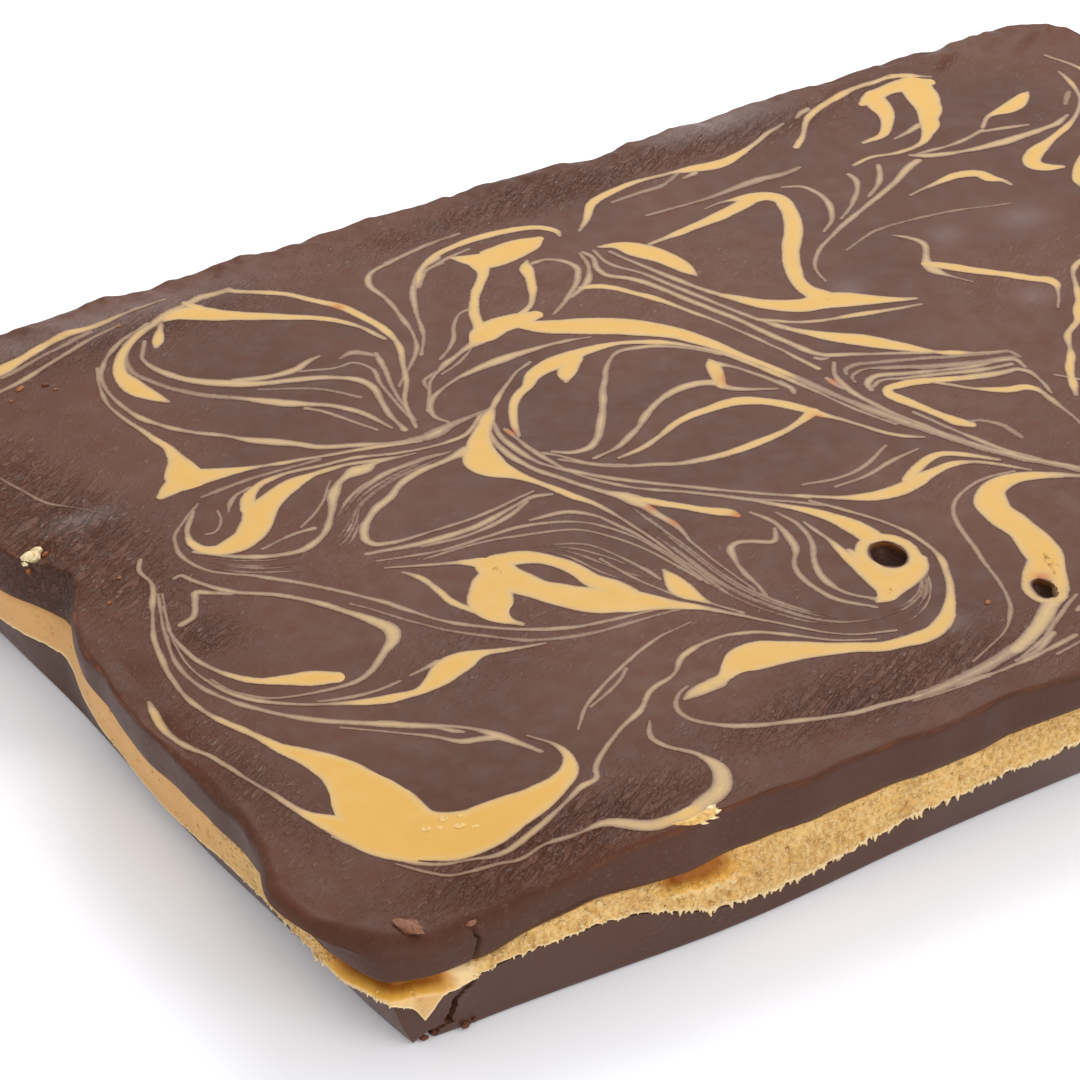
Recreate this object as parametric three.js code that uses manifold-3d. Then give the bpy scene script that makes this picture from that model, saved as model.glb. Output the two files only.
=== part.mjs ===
// A slab of layered fudge: a chocolate base, a nut filling and a chocolate top, cast in a lined tray.
// Millimetres, +Z up. +X runs along the slab's long side, and the slab rests on its flat underside.
import * as THREE from "three";
import Module from "manifold-3d";
import { mergeVertices } from "three/addons/utils/BufferGeometryUtils.js";

// Slab size at the rim, and the mean height at which each layer ends
const RIM_LENGTH = 330;
const RIM_WIDTH = 225;
const SLAB_HEIGHT = 28.4;
const BASE_TOP = 9;
const FILLING_TOP = 17.6;
const LAYER_GAP = 0.3;

// Plan: the corners are round at the rim and nearly square at the floor
const CORNER_RADIUS = 16;
const FLOOR_ROUNDNESS = 0.15;
const STATIONS = 176;

// Walls: how far each one comes in from rim to floor, most of it low down
const FRONT_LEAN = 4;
const RIGHT_LEAN = 6;
const BACK_LEAN = 5;
const LEFT_LEAN = 10.5;
const LEAN_CURVE = 1.7;
const FOOT_RADIUS = 0.8;
const RIM_ROLL = 2.4;
const ROLL_STEP = 0.3;

// Folds of the lining pressed into the walls, fading towards the floor.
// "at" is the way round the rim from the near corner: positive along the front, negative up the left side.
const FOLD_FADE = 0.75;
const FOLDS = [
  { at: -133.5, depth: -13, width: 20, sharpness: 1.5 },
  { at: -21.5, depth: 5.8, width: 15, sharpness: 2 },
  { at: -56, depth: -1.4, width: 9, sharpness: 2 },
  { at: -188, depth: -4, width: 14, sharpness: 1.5 },
  { at: 400, depth: -3.5, width: 13, sharpness: 1.5 },
  { at: 495, depth: 2, width: 20, sharpness: 2 },
  { at: 690, depth: -2.5, width: 15, sharpness: 1.5 },
];
const RIPPLES = [
  { waves: 37, depth: 0.6, phase: 0.4 },
  { waves: 83, depth: 0.3, phase: 1.9 },
];

// Where the layers' edges rise or sink along the walls
const BASE_SWELLS = [
  { at: 38, depth: 3.2, width: 18, sharpness: 2 },
  { at: 90, depth: -4, width: 27, sharpness: 2 },
  { at: -100, depth: -1.2, width: 40, sharpness: 2 },
  { at: 430, depth: 2, width: 50, sharpness: 2 },
  { at: 720, depth: -2, width: 60, sharpness: 2 },
];
const FILLING_SWELLS = [
  { at: 8, depth: -1.7, width: 17, sharpness: 2 },
  { at: 60, depth: -0.8, width: 9, sharpness: 2 },
  { at: 480, depth: -1.2, width: 45, sharpness: 2 },
];
const RIM_WAVES = [
  { waves: 31, depth: 0.5, phase: 2.6 },
  { waves: 67, depth: 0.3, phase: 0.8 },
];
const RIM_WAVE_REACH = 9;

// Filling wall: a ragged lower lip stands proud of the base, the upper edge sits back under the top
const LIP_PROUD = 0.7;
const LIP_RISE = 0.9;
const LIP_RAGGED = 0.45;
const LIP_SEED = 20;
const RECESS = 0.9;

// Top: sunken near corner, raised band along the far rim, burst bubbles
const CORNER_DIP = { inX: 20, inY: 2, depth: 3.6, spanX: 26, spanY: 24 };
const FAR_BAND = { inset: 6, height: 0.9, span: 6 };
const FACE_SHARES = [0.94, 0.8, 0.5];
const BUBBLE_SUNK = 1.2;
const BUBBLE_TURN = -14;
const BUBBLE_SIDES = 14;
const BUBBLE_BANDS = 8;
const BUBBLES = [
  { fromLeft: 149.8, fromFront: 51.9, width: 6.7, length: 9.2, depth: 5 },
  { fromLeft: 167.5, fromFront: 25.5, width: 4.2, length: 7, depth: 4 },
];

// Crack up the base at the near corner, as points on the front wall from its foot to the filling
const CRACK_WIDTH = 1.3;
const CRACK_DEPTH = 2.2;
const CRACK = [
  { fromLeft: 12.5, height: -1 },
  { fromLeft: 16, height: 3.2 },
  { fromLeft: 19, height: 5.2 },
  { fromLeft: 20.3, height: 8.2 },
  { fromLeft: 22, height: 13 },
];

const WELD_DISTANCE = 1e-4;
const PERIMETER = 2 * (RIM_LENGTH + RIM_WIDTH);
const LEFT = -RIM_LENGTH / 2;
const FRONT = -RIM_WIDTH / 2;

// How far apart two places are, the short way round the rim.
function wayBetween(one, other) {
  const way = THREE.MathUtils.euclideanModulo(one - other, PERIMETER);
  return Math.min(way, PERIMETER - way);
}

// The sum of smooth bumps at one place round the rim.
function bumps(list, station) {
  return list.reduce((sum, { at, depth, width, sharpness }) => {
    const share = Math.exp(-((wayBetween(station, at) / width) ** sharpness));
    return sum + depth * share;
  }, 0);
}

// The sum of even waves at one place round the rim.
function waves(list, station) {
  const turn = (2 * Math.PI * station) / PERIMETER;
  return list.reduce((sum, wave) => sum + wave.depth * Math.sin(wave.waves * turn + wave.phase), 0);
}

// The tray's rectangle at one height, with each wall leaned in.
function rectangleAt(height) {
  const inward = Math.max(0, 1 - height / SLAB_HEIGHT) ** LEAN_CURVE;
  return {
    left: LEFT + LEFT_LEAN * inward,
    right: -LEFT - RIGHT_LEAN * inward,
    front: FRONT + FRONT_LEAN * inward,
    back: -FRONT - BACK_LEAN * inward,
  };
}

// The four walls in order round the rim, each from its first corner to its second.
function wallsAt(height) {
  const { left, right, front, back } = rectangleAt(height);
  const near = new THREE.Vector2(left, front);
  const nearRight = new THREE.Vector2(right, front);
  const farRight = new THREE.Vector2(right, back);
  const farLeft = new THREE.Vector2(left, back);
  return [
    { from: near, to: nearRight, length: RIM_LENGTH },
    { from: nearRight, to: farRight, length: RIM_WIDTH },
    { from: farRight, to: farLeft, length: RIM_LENGTH },
    { from: farLeft, to: near, length: RIM_WIDTH },
  ];
}

// The wall's point and outward direction at one place round the rim and one height.
function wallPoint(station, height) {
  let rest = THREE.MathUtils.euclideanModulo(station, PERIMETER);
  const walls = wallsAt(height);
  const wall = walls.find((candidate) => {
    const here = rest < candidate.length;
    rest -= here ? 0 : candidate.length;
    return here;
  });
  const along = wall.to.clone().sub(wall.from).normalize();
  const out = new THREE.Vector2(along.y, -along.x);
  const square = wall.from.clone().lerp(wall.to, rest / wall.length);
  const toCorner = Math.min(rest, wall.length - rest);
  if (toCorner >= CORNER_RADIUS) return { point: square, out };
  const nearStart = rest < wall.length / 2;
  const corner = nearStart ? wall.from : wall.to;
  const towards = along.clone().multiplyScalar(nearStart ? -1 : 1);
  const angle = (1 - toCorner / CORNER_RADIUS) * (Math.PI / 4);
  const roundOut = out.clone().multiplyScalar(Math.cos(angle)).addScaledVector(towards, Math.sin(angle));
  const inward = out.clone().add(towards).multiplyScalar(-CORNER_RADIUS);
  const round = corner.clone().add(inward).addScaledVector(roundOut, CORNER_RADIUS);
  const roundness = THREE.MathUtils.lerp(FLOOR_ROUNDNESS, 1, height / SLAB_HEIGHT);
  return { point: square.lerp(round, roundness), out: roundOut };
}

// The wall's point with the lining's folds, moved out by "proud" (or in, where it is negative).
function foldedPoint(station, height, proud) {
  const { point, out } = wallPoint(station, height);
  const rise = (height / SLAB_HEIGHT) ** FOLD_FADE;
  const fold = (bumps(FOLDS, station) + waves(RIPPLES, station)) * rise;
  return point.addScaledVector(out, fold + proud);
}

const baseEdge = (station) => BASE_TOP + bumps(BASE_SWELLS, station);
const fillingEdge = (station) => FILLING_TOP + bumps(FILLING_SWELLS, station);

// The height of the top face, "inset" in from the rim at one place round it.
function topHeight(x, y, station, inset) {
  const fromDipX = (x - LEFT - CORNER_DIP.inX) / CORNER_DIP.spanX;
  const fromDipY = (y - FRONT - CORNER_DIP.inY) / CORNER_DIP.spanY;
  const dip = CORNER_DIP.depth * Math.exp(-(fromDipX ** 2) - fromDipY ** 2);
  const band = FAR_BAND.height * Math.exp(-(((-FRONT - y - FAR_BAND.inset) / FAR_BAND.span) ** 2));
  return SLAB_HEIGHT - dip + band + waves(RIM_WAVES, station) * Math.exp(-inset / RIM_WAVE_REACH);
}

const STATION_LIST = Array.from({ length: STATIONS }, (_, index) => (index * PERIMETER) / STATIONS);

// A closed ring of points on the wall at the height that heightAt gives for each station.
function wallRing(heightAt, proud = 0) {
  return STATION_LIST.map((station) => {
    const height = heightAt(station);
    const { x, y } = foldedPoint(station, height, proud);
    return new THREE.Vector3(x, y, height);
  });
}

// A ring of the top face, in from the rim by "inset" and then drawn towards the middle by "share".
function topRing(inset, drop = 0, share = 1) {
  return STATION_LIST.map((station) => {
    const edge = foldedPoint(station, SLAB_HEIGHT, -inset).multiplyScalar(share);
    const span = inset + (1 - share) * edge.length();
    return new THREE.Vector3(edge.x, edge.y, topHeight(edge.x, edge.y, station, span) - drop);
  });
}

// A closed body from rings stacked upwards, with a middle point under the first and over the last.
function ringBody(bottomMiddle, rings, topMiddle) {
  const points = [bottomMiddle, ...rings.flat(), topMiddle];
  const last = points.length - 1;
  const triangles = [];
  const at = (ring, index) => 1 + ring * STATIONS + (index % STATIONS);
  for (let index = 0; index < STATIONS; index += 1) {
    triangles.push(0, at(0, index + 1), at(0, index));
    for (let ring = 0; ring + 1 < rings.length; ring += 1) {
      triangles.push(at(ring, index), at(ring, index + 1), at(ring + 1, index + 1));
      triangles.push(at(ring, index), at(ring + 1, index + 1), at(ring + 1, index));
    }
    triangles.push(last, at(rings.length - 1, index), at(rings.length - 1, index + 1));
  }
  const geometry = new THREE.BufferGeometry().setFromPoints(points);
  geometry.setIndex(triangles);
  return geometry;
}

const middle = (height) => new THREE.Vector3(0, 0, height);

// Chocolate base: flat underside, square foot, walls leaning out to the filling.
function baseGeometry() {
  const rings = [
    wallRing(() => 0, -FOOT_RADIUS),
    wallRing(() => FOOT_RADIUS),
    wallRing((station) => baseEdge(station) / 2),
    wallRing(baseEdge),
  ];
  return ringBody(middle(0), rings, middle(BASE_TOP));
}

// Filling: a ragged lip over the base, a wall that draws in, and a recess under the top.
function fillingGeometry() {
  THREE.MathUtils.seededRandom(LIP_SEED);
  const bottom = (station) => baseEdge(station) + LAYER_GAP;
  const half = (station) => (bottom(station) + fillingEdge(station)) / 2;
  const ragged = () => (2 * THREE.MathUtils.seededRandom() - 1) * LIP_RAGGED;
  const rings = [
    wallRing(baseEdge).map((point) => point.setZ(point.z + LAYER_GAP)),
    wallRing((station) => bottom(station) + LIP_RISE + ragged(), LIP_PROUD),
    wallRing(half, 0),
    wallRing(fillingEdge, -RECESS),
  ];
  return ringBody(middle(BASE_TOP + LAYER_GAP), rings, middle(FILLING_TOP));
}

// Chocolate top: the wall over the filling, a rolled rim and the poured face.
function topGeometry() {
  const bottom = (station) => fillingEdge(station) + LAYER_GAP;
  const shoulder = (station) => {
    const { x, y } = foldedPoint(station, SLAB_HEIGHT, 0);
    return topHeight(x, y, station, 0) - RIM_ROLL;
  };
  const rings = [
    wallRing(fillingEdge, -RECESS).map((point) => point.setZ(point.z + LAYER_GAP)),
    wallRing((station) => bottom(station) + RECESS),
    wallRing((station) => (bottom(station) + RECESS + shoulder(station)) / 2),
    wallRing(shoulder),
    topRing(RIM_ROLL * ROLL_STEP, RIM_ROLL * ROLL_STEP),
    topRing(RIM_ROLL),
    topRing(FAR_BAND.inset),
    ...FACE_SHARES.map((share) => topRing(FAR_BAND.inset, 0, share)),
  ];
  return ringBody(middle(FILLING_TOP + LAYER_GAP), rings, middle(SLAB_HEIGHT));
}

// Oval hollows left in the top face by burst bubbles, a little wider inside than at the face.
function bubbleGeometries() {
  return BUBBLES.map(({ fromLeft, fromFront, width, length, depth }) => {
    const x = LEFT + fromLeft;
    const y = FRONT + fromFront;
    const z = topHeight(x, y, 0, RIM_WIDTH) - BUBBLE_SUNK;
    const below = depth - BUBBLE_SUNK;
    const opening = 2 * Math.sqrt(1 - (BUBBLE_SUNK / below) ** 2);
    const hollow = new THREE.SphereGeometry(1, BUBBLE_SIDES, BUBBLE_BANDS);
    hollow.scale(width / opening, length / opening, below);
    return hollow.rotateZ(THREE.MathUtils.degToRad(BUBBLE_TURN)).translate(x, y, z);
  });
}

// A thin crooked wedge through the front wall, standing for the crack.
function crackGeometry() {
  const side = (shift) =>
    CRACK.map(({ fromLeft, height }) => new THREE.Vector2(LEFT + fromLeft + shift, height));
  const shape = new THREE.Shape([...side(CRACK_WIDTH / 2), ...side(-CRACK_WIDTH / 2).reverse()]);
  const wall = FRONT + FRONT_LEAN;
  const reach = 3 * FRONT_LEAN;
  const solid = new THREE.ExtrudeGeometry(shape, { depth: reach + CRACK_DEPTH, bevelEnabled: false });
  return solid.rotateX(Math.PI / 2).translate(0, wall + CRACK_DEPTH, 0);
}

const wasm = await Module();
wasm.setup();

// A geometry as a solid that can be cut.
function solidOf(geometry) {
  const bare = geometry.clone();
  bare.deleteAttribute("normal");
  bare.deleteAttribute("uv");
  const merged = mergeVertices(bare, WELD_DISTANCE);
  return new wasm.Manifold(
    new wasm.Mesh({
      numProp: 3,
      vertProperties: new Float32Array(merged.attributes.position.array),
      triVerts: new Uint32Array(merged.index.array),
    }),
  );
}

// A geometry with each of the cutters taken out of it.
function cut(geometry, cutters) {
  const solid = cutters.reduce((rest, cutter) => rest.subtract(solidOf(cutter)), solidOf(geometry));
  const mesh = solid.getMesh();
  const result = new THREE.BufferGeometry();
  result.setAttribute("position", new THREE.BufferAttribute(new Float32Array(mesh.vertProperties), 3));
  result.setIndex(new THREE.BufferAttribute(new Uint32Array(mesh.triVerts), 1));
  return result;
}

const chocolate = (color) => new THREE.MeshStandardMaterial({ color, roughness: 0.5, metalness: 0 });
const nutFilling = new THREE.MeshStandardMaterial({ color: 0xd2a566, roughness: 0.75, metalness: 0 });

const layers = [
  { name: "base_layer", geometry: cut(baseGeometry(), [crackGeometry()]), material: chocolate(0x4a342d) },
  { name: "filling_layer", geometry: fillingGeometry(), material: nutFilling },
  { name: "top_layer", geometry: cut(topGeometry(), bubbleGeometries()), material: chocolate(0x644a40) },
];

// The folds move the outline off centre, so the slab is moved back over the origin.
const outline = new THREE.Box3();
layers.forEach(({ geometry }) => {
  geometry.computeBoundingBox();
  outline.union(geometry.boundingBox);
});
const offset = outline.getCenter(new THREE.Vector3());

const slab = new THREE.Group();
layers.forEach(({ name, geometry, material }) => {
  const layer = new THREE.Mesh(geometry, material);
  layer.name = name;
  layer.position.set(-offset.x, -offset.y, 0);
  slab.add(layer);
});

export default slab;
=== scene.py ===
"""Dresses the fudge slab: a chocolate base, a golden nut filling and a marbled chocolate top."""

import logging
import math
from collections.abc import Sequence
from dataclasses import dataclass
from enum import Enum

import bpy
import numpy as np
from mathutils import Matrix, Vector


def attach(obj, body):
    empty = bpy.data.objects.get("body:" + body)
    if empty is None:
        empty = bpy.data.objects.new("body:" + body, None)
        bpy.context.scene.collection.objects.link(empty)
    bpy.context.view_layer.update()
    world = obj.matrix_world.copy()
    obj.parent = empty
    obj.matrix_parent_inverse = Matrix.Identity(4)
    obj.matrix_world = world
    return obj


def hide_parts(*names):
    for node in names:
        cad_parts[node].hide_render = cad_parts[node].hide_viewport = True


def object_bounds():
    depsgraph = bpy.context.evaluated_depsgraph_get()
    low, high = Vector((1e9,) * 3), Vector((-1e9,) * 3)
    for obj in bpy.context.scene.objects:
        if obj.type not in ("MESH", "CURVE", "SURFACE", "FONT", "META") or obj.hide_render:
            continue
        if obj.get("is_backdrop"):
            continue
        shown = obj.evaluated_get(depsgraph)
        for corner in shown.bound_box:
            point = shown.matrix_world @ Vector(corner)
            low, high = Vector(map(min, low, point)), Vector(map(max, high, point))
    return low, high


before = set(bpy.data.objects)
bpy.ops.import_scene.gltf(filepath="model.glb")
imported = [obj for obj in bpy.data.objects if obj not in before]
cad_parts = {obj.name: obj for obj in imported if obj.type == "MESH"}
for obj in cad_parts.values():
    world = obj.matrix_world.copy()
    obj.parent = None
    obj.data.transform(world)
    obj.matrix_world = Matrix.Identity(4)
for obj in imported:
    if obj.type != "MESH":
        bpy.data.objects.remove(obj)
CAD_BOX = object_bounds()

Array = np.ndarray
Piece = bpy.types.Object
Tree = bpy.types.NodeTree
Socket = bpy.types.NodeSocket
Values = dict[str | int, object]
Point = tuple[float, float, float]
# A noise pattern: the size of its cells in millimetres, its detail, its roughness and its distortion
Pattern = tuple[float, float, float, float]

MM = 0.001
BODY = "root"
# The slab's box is centred on the origin, and the tray's rim rectangle lies this far off it
TRAY_SHIFT = (1.720, 0.007)
NOISE_CELLS = 128

# Kinds of node, and settings of nodes, that come up often
MATH, MAP_RANGE, MIX = "ShaderNodeMath", "ShaderNodeMapRange", "ShaderNodeMix"
NOISE, ATTRIBUTE, COORDINATES = "ShaderNodeTexNoise", "ShaderNodeAttribute", "ShaderNodeTexCoord"
BUMP, VECTOR_MATH, RANDOM = "ShaderNodeBump", "ShaderNodeVectorMath", "FunctionNodeRandomValue"
COMBINE, SEPARATE = "ShaderNodeCombineXYZ", "ShaderNodeSeparateXYZ"
NAMED_ATTRIBUTE, STORE = "GeometryNodeInputNamedAttribute", "GeometryNodeStoreNamedAttribute"
MESH_TO_CURVE, INSTANCES = "GeometryNodeMeshToCurve", "GeometryNodeInstanceOnPoints"
MULTIPLY, MULTIPLY_ADD, ADD, SUBTRACT, MAXIMUM, ABSOLUTE = (
    {"operation": name} for name in ("MULTIPLY", "MULTIPLY_ADD", "ADD", "SUBTRACT", "MAXIMUM", "ABSOLUTE"))
RGBA, FLOAT, VECTOR = ({"data_type": name} for name in ("RGBA", "FLOAT", "FLOAT_VECTOR"))
SMOOTH = {"interpolation_type": "SMOOTHSTEP"}

log = logging.getLogger("fudge_slab")


def linear(hex_code: str) -> tuple[float, float, float, float]:
    """Turns an sRGB hex colour into linear light.

    Args:
        hex_code: The colour as six hex digits after a hash sign.

    Returns:
        Red, green, blue and an alpha of one.
    """
    parts = [int(hex_code[start:start + 2], 16) / 255.0 for start in (1, 3, 5)]
    light = [part / 12.92 if part <= 0.04045 else ((part + 0.055) / 1.055) ** 2.4 for part in parts]
    return (light[0], light[1], light[2], 1.0)


def per_mm(size: float) -> float:
    """A texture's scale, in cells a metre, for cells of this many millimetres."""
    return 1.0 / (size * MM)


def feed(tree: Tree, node: bpy.types.Node, sockets: Values) -> None:
    """Sets inputs of a node.

    Args:
        tree: The node's tree.
        node: The node.
        sockets: Inputs by name or place, each a plain value or another node's output.
    """
    for key, value in sockets.items():
        if isinstance(value, Socket):
            tree.links.new(value, node.inputs[key])
        else:
            node.inputs[key].default_value = value


def add_node(tree: Tree, kind: str, settings: dict[str, object] | None = None, sockets: Values | None = None,
             output: str | None = None) -> Socket | None:
    """Adds one node with its settings, input values and links.

    Args:
        tree: The tree that the node joins.
        kind: The node's type name.
        settings: Properties of the node itself.
        sockets: Inputs by name or place, each a plain value or another node's output.
        output: The name of the output that is wanted, where it isn't the first one in use.

    Returns:
        That output, or None where the node has none.
    """
    node = tree.nodes.new(kind)
    for name, value in (settings or {}).items():
        setattr(node, name, value)
    feed(tree, node, sockets or {})
    return node.outputs[output] if output else next((each for each in node.outputs if each.enabled), None)


def smooth_noise(x: Array, y: Array, seed: int) -> Array:
    """Soft seeded noise over a plane, with one cell to a unit.

    Args:
        x: Places along the first axis, in cells.
        y: Places along the second axis, in cells.
        seed: Picks the pattern.

    Returns:
        Values from -1 to 1.
    """
    table = np.random.default_rng(seed).uniform(-1.0, 1.0, (NOISE_CELLS, NOISE_CELLS))
    left = np.floor(x).astype(int)
    low = np.floor(y).astype(int)
    across = x - left
    up = y - low
    across = across * across * (3.0 - 2.0 * across)
    up = up * up * (3.0 - 2.0 * up)
    rows = (left % NOISE_CELLS, (left + 1) % NOISE_CELLS)
    columns = (low % NOISE_CELLS, (low + 1) % NOISE_CELLS)
    near = table[rows[0], columns[0]] * (1.0 - across) + table[rows[1], columns[0]] * across
    far = table[rows[0], columns[1]] * (1.0 - across) + table[rows[1], columns[1]] * across
    return near * (1.0 - up) + far * up


def ease(value: Array, start: float, end: float) -> Array:
    """A soft step from 0 at start to 1 at end."""
    share = np.clip((value - start) / (end - start), 0.0, 1.0)
    return share * share * (3.0 - 2.0 * share)


def to_world(points: Array) -> Array:
    """Moves tray millimetres into the model's metres."""
    return (points + np.array([*TRAY_SHIFT, 0.0])) * MM


def new_object(name: str, points: Array, faces: list[Sequence[int]], edges: Sequence[Sequence[int]] = ()
               ) -> Piece:
    """Makes a mesh object from points in tray millimetres.

    Args:
        name: The object's name.
        points: One row for each vertex.
        faces: Vertex numbers of each face.
        edges: Vertex numbers of each loose edge.

    Returns:
        The object, linked to the scene.
    """
    mesh = bpy.data.meshes.new(name)
    mesh.from_pydata(to_world(points).tolist(), list(edges), faces)
    mesh.update()
    piece = bpy.data.objects.new(name, mesh)
    bpy.context.collection.objects.link(piece)
    return piece


def set_attribute(piece: Piece, name: str, values: Array) -> None:
    """Stores one number, or one vector, for each vertex of a mesh.

    Args:
        piece: The mesh object.
        name: The attribute's name.
        values: One row for each vertex.
    """
    vector = values.ndim == 2
    layer = piece.data.attributes.new(name, "FLOAT_VECTOR" if vector else "FLOAT", "POINT")
    layer.data.foreach_set("vector" if vector else "value", values.astype(np.float32).ravel())


def tray_points(piece: Piece) -> Array:
    """A mesh's vertices, back in tray millimetres."""
    flat = np.empty(len(piece.data.vertices) * 3, dtype=np.float32)
    piece.data.vertices.foreach_get("co", flat)
    return flat.reshape(-1, 3).astype(float) / MM - np.array([*TRAY_SHIFT, 0.0])


def skin(rings: Sequence[Array]) -> tuple[Array, list[Sequence[int]]]:
    """Skins a stack of closed rings and shuts both ends with a fan.

    Args:
        rings: Rings from the lowest to the last, each with as many points.

    Returns:
        The points and the faces, whose last two points are the fans' middles.
    """
    count = len(rings[0])
    steps = np.arange(count)
    after = (steps + 1) % count
    faces: list[Sequence[int]] = []
    for low in range(0, (len(rings) - 1) * count, count):
        high = low + count
        faces += np.stack([low + steps, low + after, high + after, high + steps], axis=1).tolist()
    bottom = len(rings) * count
    last = bottom - count
    faces += np.stack([after, steps, np.full(count, bottom)], axis=1).tolist()
    faces += np.stack([last + steps, last + after, np.full(count, bottom + 1)], axis=1).tolist()
    middles = np.stack([rings[0].mean(axis=0), rings[-1].mean(axis=0)])
    return np.concatenate([*rings, middles]), faces


def ring_shell(name: str, rings: Sequence[Array]) -> Piece:
    """Makes a closed shell from rings, smooth apart from its sharp edges."""
    return shade(new_object(name, *skin(rings)))


def shade(piece: Piece, crease_deg: float = 50.0) -> Piece:
    """Shades a mesh smoothly and keeps edges sharper than the crease angle crisp."""
    piece.data.shade_smooth()
    piece.data.set_sharp_from_angle(angle=math.radians(crease_deg))
    return piece


def evaluated(piece: Piece) -> bpy.types.Mesh:
    """The mesh that a piece has with its modifiers."""
    graph = bpy.context.evaluated_depsgraph_get()
    return bpy.data.meshes.new_from_object(
        piece.evaluated_get(graph), preserve_all_data_layers=True, depsgraph=graph)


def carve(piece: Piece, cutter: Piece) -> None:
    """Cuts one closed mesh out of another and removes the cutter.

    Args:
        piece: The mesh that loses material.
        cutter: The mesh that takes it away.
    """
    cut = piece.modifiers.new("cut", "BOOLEAN")
    cut.operation = "DIFFERENCE"
    cut.solver = "EXACT"
    cut.object = cutter
    mesh = evaluated(piece)
    piece.modifiers.remove(cut)
    piece.data = mesh
    bpy.data.objects.remove(cutter)


def run_nodes(carrier: Piece, tree: Tree, values: dict[str, object]) -> Piece:
    """Runs a Geometry Nodes tree on a carrier and keeps the result as a plain mesh.

    Args:
        carrier: The object that the tree starts from, whose name the result takes.
        tree: The Geometry Nodes tree.
        values: Its named inputs.

    Returns:
        A plain mesh object in the carrier's place.
    """
    name = carrier.name
    modifier = carrier.modifiers.new(name, "NODES")
    modifier.node_group = tree
    for label, value in values.items():
        modifier[tree.interface.items_tree[label].identifier] = value
    mesh = evaluated(carrier)
    carrier.modifiers.remove(modifier)
    bpy.data.objects.remove(carrier)
    piece = bpy.data.objects.new(name, mesh)
    bpy.context.collection.objects.link(piece)
    return piece


def new_tree(name: str, numbers: Sequence[str], **others: str) -> tuple[Tree, bpy.types.NodeOutputs]:
    """Starts a Geometry Nodes tree.

    Args:
        name: The tree's name.
        numbers: The names of its number inputs.
        **others: The names of its other inputs, each with its kind.

    Returns:
        The tree and what its input node gives, by name.
    """
    tree = bpy.data.node_groups.new(name, "GeometryNodeTree")
    for label, kind in {"Geometry": "Geometry", **dict.fromkeys(numbers, "Float"), **others}.items():
        tree.interface.new_socket(label, in_out="INPUT", socket_type=f"NodeSocket{kind}")
    tree.interface.new_socket("Result", in_out="OUTPUT", socket_type="NodeSocketGeometry")
    return tree, add_node(tree, "NodeGroupInput").node.outputs


def end_tree(tree: Tree, geometry: Socket, finish: Socket) -> Tree:
    """Ends a tree with real geometry, smooth shading and the finish.

    Args:
        tree: The tree to end.
        geometry: What it has made.
        finish: The material input.

    Returns:
        The same tree.
    """
    real = add_node(tree, "GeometryNodeRealizeInstances", None, {"Geometry": geometry})
    soft = add_node(tree, "GeometryNodeSetShadeSmooth", None, {"Geometry": real})
    dressed = add_node(tree, "GeometryNodeSetMaterial", None, {"Geometry": soft, "Material": finish})
    add_node(tree, "NodeGroupOutput", None, {"Result": dressed})
    return tree


def smooth_path(points: Sequence[Sequence[float]], step: float) -> Array:
    """Rounds a row of given points into an even, smooth path.

    Args:
        points: Places and, where given, a width at each.
        step: Distance between the points of the result.

    Returns:
        The path, one row for each point.
    """
    knots = np.array(points, dtype=float)
    gaps = np.linalg.norm(np.diff(knots[:, :2], axis=0), axis=1)
    along = np.concatenate(([0.0], np.cumsum(gaps)))
    slopes = np.gradient(knots, along, axis=0)
    walk = np.linspace(0.0, along[-1], max(3, math.ceil(along[-1] / step) + 1))
    place = np.clip(np.searchsorted(along, walk, side="right") - 1, 0, len(gaps) - 1)
    gap = gaps[place][:, None]
    share = (walk - along[place])[:, None] / gap
    start, end = knots[place], knots[place + 1]
    swing = slopes[place] * gap * (1.0 - share) - slopes[place + 1] * gap * share
    bend = (end - start) * (1.0 - 2.0 * share)
    return start + (end - start) * share + share * (1.0 - share) * (swing - bend)


class Side(Enum):
    """A side of the slab, in the order that a walk round the rim meets them."""

    FRONT = 0
    RIGHT = 1
    BACK = 2
    LEFT = 3


@dataclass(frozen=True)
class Swell:
    """A smooth push out, or in where negative, centred on a place along the rim."""

    at: float
    depth: float
    width: float
    sharpness: float = 2.0


@dataclass(frozen=True)
class Ripple:
    """A row of even waves right round the rim."""

    waves: int
    depth: float
    phase: float


@dataclass(frozen=True)
class Patch:
    """A soft-edged area of the top face and how strong something is in its middle."""

    x: float
    y: float
    span_x: float
    span_y: float
    amount: float

    def at(self, place: Array) -> Array:
        """How strong it is at points on the face."""
        away = ((place[:, 0] - self.x) / self.span_x) ** 2 + ((place[:, 1] - self.y) / self.span_y) ** 2
        return self.amount * np.exp(-away)


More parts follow.
